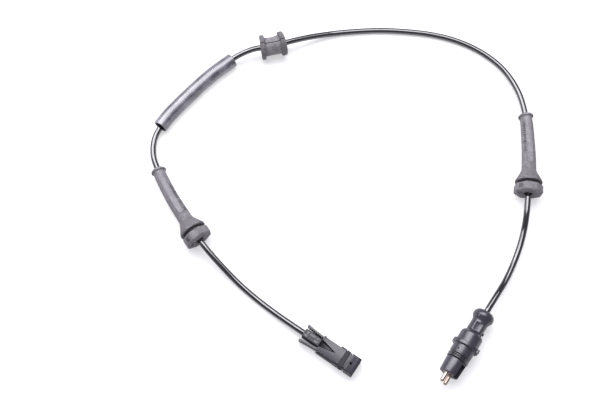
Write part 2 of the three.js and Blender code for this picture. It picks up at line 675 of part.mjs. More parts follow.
// Large grommet: profile from the bore at the collar's face, out, along the outside and back
function largeGrommet(at, reversed) {
  const bore = CABLE_DIAMETER / 2 + FIT_GAP;
  const collar = COLLAR_ACROSS_FLATS / 2;
  const groove = BRACKET_GROOVE_DIAMETER / 2;
  const rimFrom = COLLAR_LENGTH + BRACKET_GROOVE_WIDTH;
  const coneFrom = rimFrom + CONE_RIM;
  const stemFrom = coneFrom + CONE_LENGTH;
  const lipFrom = stemFrom + STEM_LENGTH;
  const end = lipFrom + END_LIP_LENGTH;
  const stem = STEM_DIAMETER / 2;
  const stemEnd = STEM_END_DIAMETER / 2;
  const lip = END_LIP_DIAMETER / 2;
  const cone = CONE_DIAMETER / 2;
  const spun = weld(turned([
    [bore, COUNTERBORE_DEPTH], [COUNTERBORE_DIAMETER / 2, COUNTERBORE_DEPTH], [COUNTERBORE_DIAMETER / 2, 0],
    [collar - COLLAR_BEVEL, 0], [collar, COLLAR_BEVEL],
    [collar, COLLAR_LENGTH - COLLAR_REAR_BEVEL], [collar - COLLAR_REAR_BEVEL, COLLAR_LENGTH],
    [groove, COLLAR_LENGTH], [groove, rimFrom],
    [cone - CONE_EDGE, rimFrom], [cone, rimFrom + CONE_EDGE], [cone, coneFrom],
    [CONE_WAIST_DIAMETER / 2, coneFrom + CONE_WAIST_FROM],
    ...spread([stem, stemFrom], [stemEnd, lipFrom]),
    [lip - END_LIP_EDGE, lipFrom], [lip, lipFrom + END_LIP_EDGE],
    [lip, end - END_LIP_BEVEL], [lip - END_LIP_BEVEL, end],
    ...spread([bore, end], [bore, COUNTERBORE_DEPTH]).slice(0, -1),
  ]));
  flatten(spun, collar - COLLAR_BEVEL, COLLAR_LENGTH);
  const panel = stemPanel(stemFrom, stem, stemEnd);
  return shape([bend(spun, cableCurve, at, reversed), bend(panel, cableCurve, at, reversed)]);
}

// Moves the rings of a turned shape outward into a regular polygon with the same across-flats size
function flatten(geometry, fromRadius, toHeight) {
  const place = geometry.attributes.position;
  const flat = Math.PI * 2 / COLLAR_SIDES;
  for (let i = 0; i < place.count; i++) {
    const radius = Math.hypot(place.getX(i), place.getY(i));
    if (radius < fromRadius - 1e-3 || place.getZ(i) > toHeight + 1e-3) continue;
    const angle = Math.atan2(place.getY(i), place.getX(i));
    const offFlat = angle - Math.round(angle / flat) * flat;
    const scale = 1 / Math.cos(offFlat);
    place.setXY(i, place.getX(i) * scale, place.getY(i) * scale);
  }
}

// Raised panel on top of the stem, with a round end towards the cone; it follows the stem's taper
function stemPanel(stemFrom, stem, stemEnd) {
  const half = STEM_PANEL_WIDTH / 2;
  const length = STEM_PANEL_LENGTH - half + END_LIP_LENGTH / 2;
  const steps = Math.ceil(length / BEND_STEP);
  const taper = (stemEnd - stem) / STEM_LENGTH;
  const height = STEM_PANEL_HEIGHT + STEM_PANEL_ROOT;
  const middle = stem - STEM_PANEL_ROOT + height / 2;
  const farEnd = stemFrom + STEM_LENGTH + END_LIP_LENGTH / 2;
  const strip = new THREE.BoxGeometry(STEM_PANEL_WIDTH, height, length, 1, 1, steps);
  strip.translate(0, middle, farEnd - length / 2);
  const end = new THREE.CylinderGeometry(half, half, height, SMALL_SEGMENTS);
  end.translate(0, middle, farEnd - length);
  const panel = weld(shape([strip, end]));
  const place = panel.attributes.position;
  for (let i = 0; i < place.count; i++) {
    const along = place.getZ(i) - stemFrom;
    place.setY(i, place.getY(i) + taper * Math.max(along, 0));
  }
  return panel;
}

// Small split grommet: a spool with a slit on top from the bore to the outside
function smallGrommet() {
  const bore = CABLE_DIAMETER / 2 + FIT_GAP;
  const flange = SPOOL_FLANGE_DIAMETER / 2;
  const body = SPOOL_BODY_DIAMETER / 2;
  const far = SPOOL_LENGTH - SPOOL_FLANGE_LENGTH;
  const spool = turned([
    [bore, 0], [flange - SPOOL_EDGE, 0], [flange, SPOOL_EDGE], [flange, SPOOL_FLANGE_LENGTH - SPOOL_EDGE],
    [flange - SPOOL_EDGE, SPOOL_FLANGE_LENGTH], [body, SPOOL_FLANGE_LENGTH],
    [body, SPOOL_LENGTH / 2], [body, far],
    [flange - SPOOL_EDGE, far], [flange, far + SPOOL_EDGE], [flange, SPOOL_LENGTH - SPOOL_EDGE],
    [flange - SPOOL_EDGE, SPOOL_LENGTH], [bore, SPOOL_LENGTH],
    [bore, SPOOL_LENGTH * 2 / 3], [bore, SPOOL_LENGTH / 3],
  ]);
  const slitDepth = flange + OVERCUT;
  const slit = new THREE.BoxGeometry(SPOOL_SLIT_WIDTH, slitDepth, SPOOL_LENGTH + 2 * OVERCUT, 1, 1, 6);
  slit.translate(0, slitDepth / 2, SPOOL_LENGTH / 2).rotateZ(SPOOL_SLIT_TURN);
  return shape([bend(spool, cableCurve, SPOOL_AT)], [bend(slit, cableCurve, SPOOL_AT)]);
}

// Protective hose: a plain open-ended tube lying on the ground
function hose() {
  const radius = HOSE_DIAMETER / 2;
  const curve = new THREE.CatmullRomCurve3(
    HOSE_ROUTE.map(([x, y]) => new THREE.Vector3(x, y, radius + REST_GAP)), false, 'centripetal',
  );
  const length = curve.getLength();
  const inner = radius - HOSE_WALL;
  const wall = turned([
    ...spread([inner, 0], [inner, length]).reverse(),
    ...spread([radius, 0], [radius, length]),
  ], HOSE_SEGMENTS);
  return bend(wall, curve, 0);
}

const lead = new THREE.Group();
add(lead, 'cable', weld(tube(cableCurve, CABLE_DIAMETER, CABLE_SIDES, CABLE_STEPS)), materials.jacket);
add(lead, 'large_grommet_1', largeGrommet(LARGE_GROMMET_1_AT, false), materials.grommetRubber);
add(lead, 'protective_hose', hose(), materials.hosePlastic);
add(lead, 'small_grommet', smallGrommet(), materials.grommetRubber);
add(lead, 'large_grommet_2', largeGrommet(LARGE_GROMMET_2_AT, true), materials.grommetRubber);

// Rear boot of the plug: bulb, neck with a flat pad and a nub, and the spigot inside the body
function rearBoot() {
  const bore = CABLE_DIAMETER / 2 + FIT_GAP;
  const bulb = BULB_DIAMETER / 2;
  const face = BULB_FACE_DIAMETER / 2;
  const neck = NECK_DIAMETER / 2;
  const spigot = PLUG_SPIGOT_DIAMETER / 2;
  const end = neckFrontW - FIT_GAP + PLUG_SPIGOT_LENGTH;
  const crest = [bulb, BULB_CREST_FROM];
  const body = turned([
    [bore, 0], ...quarter(crest, [face, 0]).reverse(), ...fall(crest, [neck, BULB_LENGTH]).slice(1),
    [neck, neckFrontW - FIT_GAP], [spigot, neckFrontW - FIT_GAP], [spigot, end], [bore, end],
  ], PLUG_SEGMENTS);
  const padCut = NECK_PAD_DEPTH + OVERCUT;
  const pad = new THREE.BoxGeometry(NECK_PAD_WIDTH, padCut, NECK_PAD_LENGTH);
  pad.translate(0, neck - NECK_PAD_DEPTH + padCut / 2, BULB_LENGTH + NECK_LENGTH / 2);
  const nubRadius = NUB_DIAMETER / 2;
  const nub = new THREE.CylinderGeometry(nubRadius, nubRadius, NUB_HEIGHT + ROOT, TINY_SEGMENTS);
  nub.rotateZ(Math.PI / 2);
  nub.translate(neck + (NUB_HEIGHT - ROOT) / 2, 0, neckFrontW - NUB_SETBACK);
  return shape([body, nub], [pad]);
}

// Plug body: shoulder, flange, barrel, seal seat and tapered nose, hollow from the rear
function plugBody() {
  const neck = NECK_DIAMETER / 2;
  const rear = BARREL_REAR_DIAMETER / 2;
  const flange = FLANGE_DIAMETER / 2;
  const barrel = BARREL_DIAMETER / 2;
  const seat = SEAL_SEAT_DIAMETER / 2;
  const noseRear = NOSE_REAR_DIAMETER / 2;
  const noseFront = NOSE_FRONT_DIAMETER / 2;
  const bore = PLUG_BORE_DIAMETER / 2;
  const shell = turned([
    [0, boreEndW], [bore, boreEndW], [bore, neckFrontW], [neck, neckFrontW],
    [SHOULDER_TURN_DIAMETER / 2, neckFrontW + SHOULDER_TURN_FROM], [rear, neckFrontW + SHOULDER_FLARE],
    [rear, flangeRearW], [flange - FLANGE_EDGE, flangeRearW], [flange, flangeRearW + FLANGE_EDGE],
    [flange, flangeFrontW - FLANGE_EDGE], [flange - FLANGE_EDGE, flangeFrontW], [barrel, flangeFrontW],
    [barrel, barrelFrontW],
    [barrel - BARREL_LIP_DEPTH, barrelFrontW], [barrel - BARREL_LIP_DEPTH, lipFrontW],
    [seat, lipFrontW], [seat, noseRearW], [noseRear, noseRearW],
    [noseFront, noseFrontW - NOSE_EDGE], [noseFront - NOSE_EDGE, noseFrontW], [0, noseFrontW],
  ], PLUG_SEGMENTS);
  const tab = new THREE.BoxGeometry(TAB_HEIGHT + ROOT, TAB_WIDTH, FLANGE_LENGTH);
  tab.translate(flange + (TAB_HEIGHT - ROOT) / 2, 0, (flangeRearW + flangeFrontW) / 2);
  const lugs = [1, -1].map((side) => {
    const lug = new THREE.BoxGeometry(LUG_WIDTH, LUG_HEIGHT, LUG_LENGTH + ROOT);
    return lug.translate(0, side * (barrel + LUG_HEIGHT / 2), flangeFrontW + (LUG_LENGTH - ROOT) / 2);
  });
  const keySlot = new THREE.BoxGeometry(noseRear, KEY_SLOT_WIDTH, KEY_SLOT_LENGTH + OVERCUT);
  keySlot.translate(KEY_SLOT_FLOOR + noseRear / 2, 0, noseFrontW + (OVERCUT - KEY_SLOT_LENGTH) / 2);
  const pinHoles = [1, -1].map((side) => {
    const hole = PIN_DIAMETER / 2 + FIT_GAP;
    const seatRadius = PIN_COLLAR_DIAMETER / 2 + FIT_GAP;
    const seatEnd = boreEndW + PIN_COLLAR_LENGTH;
    return turned([
      [0, boreEndW - OVERCUT], [seatRadius, boreEndW - OVERCUT], [seatRadius, seatEnd],
      [hole, seatEnd], [hole, noseFrontW + OVERCUT], [0, noseFrontW + OVERCUT],
    ], SMALL_SEGMENTS).translate(0, side * PIN_SPACING / 2, 0);
  });
  return shape([shell, tab, ...lugs], [keySlot, ...pinHoles]);
}

// Seal ring with round lips on its outside
function plugSeal() {
  const inner = SEAL_SEAT_DIAMETER / 2 + FIT_GAP;
  const outer = SEAL_DIAMETER / 2;
  const from = lipFrontW + FIT_GAP;
  const length = SEAL_SEAT_LENGTH - 2 * FIT_GAP;
  const profile = [[inner, from + length], [inner, from]];
  const pitch = length / SEAL_LIP_COUNT;
  for (let i = 0; i < SEAL_LIP_COUNT; i++) {
    const start = from + i * pitch;
    const crest = start + (pitch - SEAL_LIP_CREST) / 2;
    profile.push([outer - SEAL_LIP_DEPTH, start], [outer, crest], [outer, crest + SEAL_LIP_CREST]);
  }
  profile.push([outer - SEAL_LIP_DEPTH, from + length]);
  return weld(turned(profile, PLUG_SEGMENTS));
}

function contactPin(side) {
  const radius = PIN_DIAMETER / 2;
  const collar = PIN_COLLAR_DIAMETER / 2;
  const tail = PIN_TAIL_DIAMETER / 2;
  const collarFrom = boreEndW + FIT_GAP;
  const collarTo = boreEndW + PIN_COLLAR_LENGTH - FIT_GAP;
  const end = noseFrontW + PIN_REACH;
  const pin = turned([
    [0, boreEndW - PIN_TAIL_LENGTH], [tail, boreEndW - PIN_TAIL_LENGTH], [tail, collarFrom],
    [collar, collarFrom], [collar, collarTo], [radius, collarTo],
    ...quarter([radius, end - radius], [0, end]),
  ], SMALL_SEGMENTS);
  return weld(pin.translate(0, side * PIN_SPACING / 2, 0));
}

// Retainer: a disc behind the pin collars
function contactRetainer() {
  const radius = PLUG_BORE_DIAMETER / 2 - FIT_GAP;
  const from = boreEndW - FIT_GAP - RETAINER_LENGTH;
  const disc = turned(rod(radius * 2, RETAINER_LENGTH), TURN_SEGMENTS).translate(0, 0, from);
  const holes = [1, -1].map((side) => {
    const profile = rod(PIN_TAIL_DIAMETER + 2 * FIT_GAP, RETAINER_LENGTH + 2 * OVERCUT);
    return turned(profile, SMALL_SEGMENTS).translate(0, side * PIN_SPACING / 2, from - OVERCUT);
  });
  return shape([disc], holes);
}

function plugWire(side) {
  const nearY = side * WIRE_SPACING / 2;
  const farY = side * PIN_SPACING / 2;
  const start = PLUG_JACKET_GRIP + FIT_GAP;
  const end = boreEndW - PIN_TAIL_LENGTH - FIT_GAP;
  const curve = new THREE.CatmullRomCurve3([
    new THREE.Vector3(0, nearY, start),
    new THREE.Vector3(0, nearY, neckFrontW + PLUG_SPIGOT_LENGTH),
    new THREE.Vector3(0, farY, end - WIRE_STRAIGHT),
    new THREE.Vector3(0, farY, end),
  ], false, 'centripetal');
  return weld(tube(curve, WIRE_DIAMETER, WIRE_SIDES, WIRE_STEPS));
}

// The plug group turns +Z to -Y; the keyed group inside it is rolled about the plug's axis
const plug = new THREE.Group();
plug.position.set(PLUG_X, PLUG_REAR_Y, plugZ);
plug.rotation.x = Math.PI / 2;
add(plug, 'rear_boot', rearBoot(), materials.plugPlastic);

const keyed = new THREE.Group();
keyed.rotation.z = PLUG_ROLL;
plug.add(keyed);
add(keyed, 'plug_body', plugBody(), materials.plugPlastic);
add(keyed, 'plug_seal', plugSeal(), materials.sealRubber);
add(keyed, 'contact_pin_1', contactPin(-1), materials.contact);
add(keyed, 'contact_pin_2', contactPin(1), materials.contact);
add(keyed, 'contact_retainer', contactRetainer(), materials.bobbinPlastic);
add(keyed, 'plug_wire_1', plugWire(-1), materials.blackWire);
add(keyed, 'plug_wire_2', plugWire(1), materials.whiteWire);

const group = new THREE.Group();
group.add(head, lead, plug);

export default group;
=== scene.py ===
import math

import bmesh
import bpy
import numpy as np
from mathutils import Matrix, Vector


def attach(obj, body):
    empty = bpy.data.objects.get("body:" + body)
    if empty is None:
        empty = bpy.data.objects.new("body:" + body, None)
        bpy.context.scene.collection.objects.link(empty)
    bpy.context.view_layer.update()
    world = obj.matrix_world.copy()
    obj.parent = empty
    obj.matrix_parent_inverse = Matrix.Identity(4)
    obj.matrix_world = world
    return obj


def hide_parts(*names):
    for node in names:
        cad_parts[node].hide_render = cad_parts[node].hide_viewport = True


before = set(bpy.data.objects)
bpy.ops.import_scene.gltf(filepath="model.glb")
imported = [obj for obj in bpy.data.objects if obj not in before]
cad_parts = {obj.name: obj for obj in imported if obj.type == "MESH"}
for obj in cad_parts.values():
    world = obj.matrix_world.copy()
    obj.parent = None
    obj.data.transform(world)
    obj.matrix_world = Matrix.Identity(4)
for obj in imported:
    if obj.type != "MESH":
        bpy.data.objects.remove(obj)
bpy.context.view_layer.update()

# Camera: stands 70 degrees above the bench, in front of the plug's side, with a 50 mm lens, as for a
# product picture that shows the whole lead.
look_at = Vector((-0.0912, 0.0922, 0.0))
turn, rise, distance = math.radians(34.3), math.radians(70), 0.702
ahead = Vector((-math.sin(turn) * math.cos(rise), math.cos(turn) * math.cos(rise), -math.sin(rise)))
camera = bpy.data.objects.new("camera", bpy.data.cameras.new("camera"))
camera.data.lens = 50.1
camera.data.sensor_width = 36
camera.data.clip_start = 0.01
camera.data.clip_end = 20
camera.location = look_at - ahead * distance
camera.rotation_mode = "QUATERNION"
camera.rotation_quaternion = ahead.to_track_quat("-Z", "Y")
bpy.context.scene.collection.objects.link(camera)
bpy.context.scene.camera = camera
bpy.context.scene.view_settings.view_transform = "Standard"


# Bench top: a matt white sheet under a large soft box, with smaller ones to the left and behind and a pale
# room round it. The sheet shows as plain white and keeps only the soft shadows.
def linear(shade):
    """An sRGB colour written as #rrggbb, as linear red, green, blue and alpha"""
    parts = [int(shade[i:i + 2], 16) / 255 for i in (1, 3, 5)]
    return [c / 12.92 if c <= 0.04045 else ((c + 0.055) / 1.055) ** 2.4 for c in parts] + [1.0]


def put(tree, kind, inputs=None, **settings):
    """Adds a node with its settings; an input takes a value or another node's output"""
    made = tree.nodes.new(kind)
    for name, value in settings.items():
        setattr(made, name, value)
    for name, value in (inputs or {}).items():
        if isinstance(value, bpy.types.NodeSocket):
            tree.links.new(value, made.inputs[name])
        else:
            made.inputs[name].default_value = value
    return made


def material(name):
    """A new material with an empty tree and its output"""
    made = bpy.data.materials.new(name)
    made.use_nodes = True
    made.node_tree.nodes.clear()
    return made, made.node_tree, made.node_tree.nodes.new("ShaderNodeOutputMaterial")


def mesh_piece(name, places, faces, finish, sharp=35, own=None, second=None, picked=None):
    """An object from points in metres and faces, shaded smooth up to the sharp angle in degrees; own
    keeps the points in mm before they were bent, for a pattern that follows the piece, and the faces
    that picked says yes to have the second finish"""
    mesh = bpy.data.meshes.new(name)
    mesh.from_pydata([tuple(p) for p in places], [], faces)
    if own is not None:
        kept = mesh.attributes.new("own_place", "FLOAT_VECTOR", "POINT")
        kept.data.foreach_set("vector", (np.asarray(own, float) / 1000).ravel())
    mesh.materials.append(finish)
    mesh.polygons.foreach_set("use_smooth", [True] * len(mesh.polygons))
    mesh.set_sharp_from_angle(angle=math.radians(sharp))
    if second is not None:
        mesh.materials.append(second)
        mesh.polygons.foreach_set("material_index", [int(picked(face)) for face in mesh.polygons])
    piece = bpy.data.objects.new(name, mesh)
    bpy.context.scene.collection.objects.link(piece)
    return piece


sheet_white, tree, out = material("matt white paper")
matt = put(tree, "ShaderNodeBsdfDiffuse", {"Color": linear("#f4f4f5")})
ray = put(tree, "ShaderNodeLightPath")
lift = put(tree, "ShaderNodeEmission", {"Color": linear("#ffffff"), "Strength": 0.5})
seen = put(tree, "ShaderNodeMixShader", {"Fac": ray.outputs["Is Camera Ray"], 2: lift.outputs[0]})
both = put(tree, "ShaderNodeAddShader", {0: matt.outputs[0], 1: seen.outputs[0]})
tree.links.new(both.outputs[0], out.inputs["Surface"])
# 0.1 mm under the part, because two surfaces at one height would flicker in a view from below.
half, bench_height = 4.0, -0.0001
bench_corners = [(x * half, y * half, bench_height) for x, y in ((-1, -1), (1, -1), (1, 1), (-1, 1))]
bench = mesh_piece("bench_top", bench_corners, [(0, 1, 2, 3)], sheet_white)

world = bpy.data.worlds.new("pale room")
bpy.context.scene.world = world
world.use_nodes = True
world.node_tree.nodes.clear()
room_out = world.node_tree.nodes.new("ShaderNodeOutputWorld")
room_ray = put(world.node_tree, "ShaderNodeLightPath")
room_light = put(world.node_tree, "ShaderNodeBackground", {"Color": linear("#f3f2ff"), "Strength": 0.22})
room_white = put(world.node_tree, "ShaderNodeBackground", {"Color": linear("#ffffff"), "Strength": 1.0})
room = put(world.node_tree, "ShaderNodeMixShader", {
    "Fac": room_ray.outputs["Is Camera Ray"], 1: room_light.outputs[0], 2: room_white.outputs[0]})
world.node_tree.links.new(room.outputs[0], room_out.inputs["Surface"])

for name, size, power, spot in (
    ("soft_box_above", 0.9, 10.2, (-0.38, 0.44, 1.14)),
    ("soft_box_left", 0.7, 4.6, (-0.95, 0.2, 0.85)),
    ("soft_box_behind", 0.35, 1.1, (0.06, 0.82, 0.92)),
):
    lamp = bpy.data.lights.new(name, "AREA")
    lamp.shape = "SQUARE"
    lamp.size = size
    lamp.color = linear("#fbf9ff")[:3]
    lamp.energy = power
    holder = bpy.data.objects.new(name, lamp)
    holder.location = spot
    holder.rotation_mode = "QUATERNION"
    holder.rotation_quaternion = (look_at - holder.location).to_track_quat("-Z", "Y")
    bpy.context.scene.collection.objects.link(holder)


# Cable: two cores under a black polyurethane jacket, 5 mm thick, drawn through every piece on it. It lies
# on the bench in one wide bow and rises a little into each grommet. The points are the part's own, in mm.
cable_points = [
    (-13.0, 0, 6), (-24.7, 0, 6), (-28.7, 0, 6),
    (-53, 0.6, 3.6), (-74, 2, 2.6), (-95, 4.6, 4.3), (-131, 12.4, 11.2), (-162, 24.2, 10.6),
    (-180, 32.1, 8.8), (-203, 44.5, 6.9), (-215.5, 53.5, 5.9), (-224.5, 66.5, 4.9), (-227.4, 82, 4.5),
    (-224, 120.5, 4.5), (-220, 144, 5.5), (-214, 165.5, 7.7), (-204, 182, 10.6), (-190.5, 195.5, 11.1),
    (-184, 203.5, 11.1), (-171.5, 221, 7.8), (-157, 238.8, 3.4), (-139.5, 254.3, 2.6), (-121, 268, 2.6),
    (-101, 280, 2.6), (-80.5, 290, 2.6), (-58, 296.9, 2.6), (-35, 298.9, 2.6), (-12, 294.8, 3.3),
    (10, 282.2, 5.3), (26.5, 265, 7), (40.3, 244, 8.7), (52.6, 222.4, 10.6), (69.8, 188.4, 10.7),
    (77.8, 170, 6.2), (83, 150, 3.8), (85.6, 128, 5.2), (85.5, 110, 9.5),
    (85.4, 97.6, 11.05), (85.4, 93.6, 11.05), (85.4, 69.6, 11.05),
]
cable_width = 5.0


def smooth_route(points, steps=30):
    """A centripetal curve through the points, as close points in mm"""
    p = [np.array(q, float) for q in points]
    p = [2 * p[0] - p[1], *p, 2 * p[-1] - p[-2]]
    line = []
    for a, b, c, d in zip(p, p[1:], p[2:], p[3:]):
        before, between, after = (np.linalg.norm(v) ** 0.5 for v in (b - a, c - b, d - c))
        start = ((b - a) / before - (c - a) / (before + between) + (c - b) / between) * between
        end = ((c - b) / between - (d - b) / (between + after) + (d - c) / after) * between
        for t in np.linspace(0, 1, steps, endpoint=False):
            line.append(b + start * t + (-3 * b + 3 * c - 2 * start - end) * t ** 2
                        + (2 * b - 2 * c + start + end) * t ** 3)
    return np.array([*line, p[-2]])


def distances(line):
    return np.concatenate([[0], np.cumsum(np.linalg.norm(np.diff(line, axis=0), axis=1))])


def carry(line, places, at=0.0, backwards=False):
    """Bends places (across, up, along, in mm) on to a line, with up kept upward"""
    across, up, along = np.asarray(places, float).T
    run = distances(line)
    reach = np.clip(at + (-along if backwards else along), 0, run[-1])
    slopes = np.gradient(line, run, axis=0)
    middle = np.stack([np.interp(reach, run, line[:, k]) for k in range(3)], -1)
    forward = np.stack([np.interp(reach, run, slopes[:, k]) for k in range(3)], -1)
    forward *= (-1 if backwards else 1) / np.linalg.norm(forward, axis=1)[:, None]
    side = np.cross((0, 0, 1), forward)
    side /= np.linalg.norm(side, axis=1)[:, None]
    top = np.cross(forward, side)
    return middle + side * across[:, None] + top * up[:, None]


def skin(rings, sides, looped):
    """Faces of a stack of rings with that many points each; a looped stack is a closed wall"""
    count = rings if looped else rings - 1
    return [(r * sides + s, r * sides + (s + 1) % sides,
             (r + 1) % rings * sides + (s + 1) % sides, (r + 1) % rings * sides + s)
            for r in range(count) for s in range(sides)]


cable_line = smooth_route(cable_points)
cable_length = distances(cable_line)[-1]
cable_sides, cable_rings = 32, 560
stations = np.linspace(0, cable_length, cable_rings)
round_angles = np.arange(cable_sides) / cable_sides * 2 * math.pi
cable_places = carry(cable_line, [
    (math.cos(a) * cable_width / 2, math.sin(a) * cable_width / 2, s)
    for s in stations for a in round_angles])
cable_faces = skin(cable_rings, cable_sides, False)
cable_faces.append(tuple(range(cable_sides))[::-1])
cable_faces.append(tuple((cable_rings - 1) * cable_sides + s for s in range(cable_sides)))


def drifting(name, shades, gloss, cloud, grain=None, relief=None, looks=None):
    """A finish whose colour and roughness drift with one noise, and whose bumps come from a finer one, or
    from the same if grain isn't given; relief is their strength and their height in metres"""
    made, tree, out = material(name)
    place = put(tree, "ShaderNodeTexCoord")
    broad = put(tree, "ShaderNodeTexNoise", {"Vector": place.outputs["Object"], **cloud})
    rough = put(tree, "ShaderNodeMapRange", {
        "Value": broad.outputs[0], "From Min": 0.3, "From Max": 0.7,
        "To Min": gloss[0], "To Max": gloss[1]})
    surface = {"Base Color": linear(shades[0]), "Roughness": rough.outputs[0], **(looks or {})}
    if len(shades) > 1:
        tone = put(tree, "ShaderNodeMix", {
            0: broad.outputs[0], 6: linear(shades[0]), 7: linear(shades[1])}, data_type="RGBA")
        surface["Base Color"] = tone.outputs[2]
    if relief:
        fine = broad
        if grain:
            fine = put(tree, "ShaderNodeTexNoise", {"Vector": place.outputs["Object"], **grain})
        bump = put(tree, "ShaderNodeBump", {
            "Height": fine.outputs[0], "Strength": relief[0], "Distance": relief[1]})
        surface["Normal"] = bump.outputs[0]
    body = put(tree, "ShaderNodeBsdfPrincipled", surface)
    tree.links.new(body.outputs[0], out.inputs["Surface"])
    return made


# Polyurethane off a smooth die: almost a mirror, with waves about 3 mm across and a gloss that drifts over
# 15 mm or so, so that the light box shows in it as one crisp line.
jacket = drifting(
    "black polyurethane cable jacket, extruded", ["#0c0c0f"], gloss=(0.06, 0.13),
    cloud={"Scale": 60.0, "Detail": 2.0}, grain={"Scale": 300.0, "Detail": 2.0}, relief=(0.03, 0.0001),
    looks={"IOR": 1.6, "Specular IOR Level": 1.0,
           "Coat Weight": 1.0, "Coat Roughness": 0.05, "Coat IOR": 1.8})
cable = mesh_piece("cable_jacket", cable_places / 1000, cable_faces, jacket, sharp=60)


# Large grommets: the same rubber moulding twice, facing each other across the bow. A long stem with a
# flat panel on top runs from the end lip to a cone; behind it a bracket groove and an octagonal collar.
def eased(profile, steps=4):
    """A closed or open line of (radius, along, rounding) with an arc in place of each rounded corner"""
    done = []
    for i, (r, w, *rounding) in enumerate(profile):
        here = np.array((r, w), float)
        if not rounding or not 0 < i < len(profile) - 1:
            done.append(here)
            continue
        arms = [np.array(profile[k][:2], float) - here for k in (i - 1, i + 1)]
        spans = [np.linalg.norm(a) for a in arms]
        corner = math.acos(max(-1, min(1, float(arms[0] @ arms[1]) / (spans[0] * spans[1]))))
        reach = min(rounding[0] / math.tan(corner / 2), 0.49 * min(spans))
        start, end = (here + a / s * reach for a, s in zip(arms, spans))
        for t in np.linspace(0, 1, steps + 1):
            done.append((1 - t) ** 2 * start + 2 * t * (1 - t) * here + t ** 2 * end)
    return np.array(done)


def run_along(first, last, step):
    """Points between two (radius, along) pairs, a step apart, so that the wall can follow a bend"""
    count = max(1, math.ceil(abs(last[1] - first[1]) / step))
    return [(first[0] + (last[0] - first[0]) * i / count, first[1] + (last[1] - first[1]) * i / count)
            for i in range(1, count)]


# Grey rubber from a spark-eroded mould: matt, cloudy over about 5 mm, with a fine grain. The real grain is
# about 0.2 mm and is drawn at about 1 mm, so that it shows.
rubber, tree, out = material("grey EPDM rubber, moulded")
place = put(tree, "ShaderNodeTexCoord")
grain = put(tree, "ShaderNodeTexNoise", {
    "Vector": place.outputs["Object"], "Scale": 1000.0, "Detail": 2.0, "Roughness": 0.7})
cloud = put(tree, "ShaderNodeTexNoise", {
    "Vector": place.outputs["Object"], "Scale": 200.0, "Detail": 4.0, "Roughness": 0.6})
speckle = put(tree, "ShaderNodeMapRange", {
    "Value": grain.outputs[0], "From Min": 0.34, "From Max": 0.62, "To Min": -0.35, "To Max": 0.35})
tone = put(tree, "ShaderNodeMath", {
    0: cloud.outputs[0], 1: speckle.outputs[0]}, operation="ADD", use_clamp=True)
colour = put(tree, "ShaderNodeMix", {
    0: tone.outputs[0], 6: linear("#6e6b6f"), 7: linear("#a9a6aa")}, data_type="RGBA")
bump = put(tree, "ShaderNodeBump", {"Height": grain.outputs[0], "Strength": 0.5, "Distance": 0.0004})
body = put(tree, "ShaderNodeBsdfPrincipled", {
    "Base Color": colour.outputs[2], "Roughness": 0.62, "IOR": 1.5, "Normal": bump.outputs[0]})
tree.links.new(body.outputs[0], out.inputs["Surface"])

grommet_bore, recess_width, recess_depth = 5.6, 7.4, 2.0
collar_width, collar_length = 22.4, 7.0
groove_width, groove_length = 16.6, 2.8
cone_width, cone_rim, cone_length = 22.4, 1.5, 10.0
stem_width, stem_end_width, stem_length = 12.0, 10.3, 50.8
lip_width, lip_length = 12.9, 2.6
panel_width, panel_height, panel_length = 5.0, 0.5, 46.0
rim_from = collar_length + groove_length
cone_from = rim_from + cone_rim
stem_from = cone_from + cone_length
lip_from = stem_from + stem_length
grommet_end = lip_from + lip_length
panel_from = lip_from - panel_length
grommet_sides = 96
collar = collar_width / 2
cone = cone_width / 2
stem_start, stem_stop = (stem_width / 2, stem_from), (stem_end_width / 2, lip_from)
outline = eased([
    (grommet_bore / 2, recess_depth), (recess_width / 2, recess_depth), (recess_width / 2, 0, 0.4),
    (collar - 0.9, 0, 0.5), (collar, 0.9, 0.5), (collar, collar_length - 0.3, 0.5),
    (collar - 0.5, collar_length, 0.2),
    (groove_width / 2, collar_length, 0.3), (groove_width / 2, rim_from, 0.3),
    (cone, rim_from, 0.5), (cone, cone_from, 0.6),
    (8.1, cone_from + 5.5, 3.0), *run_along((6.9, stem_from - 2.2), stem_start, 0.8), (*stem_start, 3.0),
    *run_along(stem_start, stem_stop, 0.8), (*stem_stop, 0.4),
    (lip_width / 2, lip_from, 0.7), (lip_width / 2, grommet_end - 1.2, 0.9),
    (lip_width / 2 - 1.3, grommet_end, 0.8), (grommet_bore / 2, grommet_end, 0.3),
    *run_along((grommet_bore / 2, grommet_end), (grommet_bore / 2, recess_depth), 2.0),
])
# The octagon's corners stand out by a factor of 1.076 and blend in over 1.5 mm. The panel's edge slopes
# over 0.25 mm.
corner_reach, octagon_blend, panel_edge, lip_rounding = 1.076, 1.5, 0.25, 0.6


def stem_radius(along):
    """The stem's radius in mm at a place along the grommet"""
    t = min(1, max(0, (along - stem_from) / stem_length))
    return stem_start[0] + (stem_stop[0] - stem_start[0]) * t


def grommet_places():
    """The turned outline with the collar drawn out to eight corners and the stem to its panel"""
    places = []
    for radius, along in outline:
        for k in range(grommet_sides):
            angle = 2 * math.pi * (k + 0.5) / grommet_sides
            r = radius
            if radius > groove_width / 2 and along <= collar_length + 1e-6:
                off_flat = (angle + math.pi / 8) % (math.pi / 4) - math.pi / 8
                blend_in = min(1, (radius - groove_width / 2) / octagon_blend)
                r *= 1 + blend_in * (min(1 / math.cos(off_flat), corner_reach) - 1)
            x, y = r * math.cos(angle), r * math.sin(angle)
            if panel_from < along < grommet_end - lip_rounding and y > 0 and radius > grommet_bore:
                wide = panel_width / 2
                near = panel_from + wide - along
                if near > 0:
                    wide = math.sqrt(max(0, wide ** 2 - near ** 2))
                share = max(0, min(1, (wide - abs(x)) / panel_edge))
                y += max(0, stem_radius(along) + panel_height - y) * share
            places.append((x, y, along))
    return places


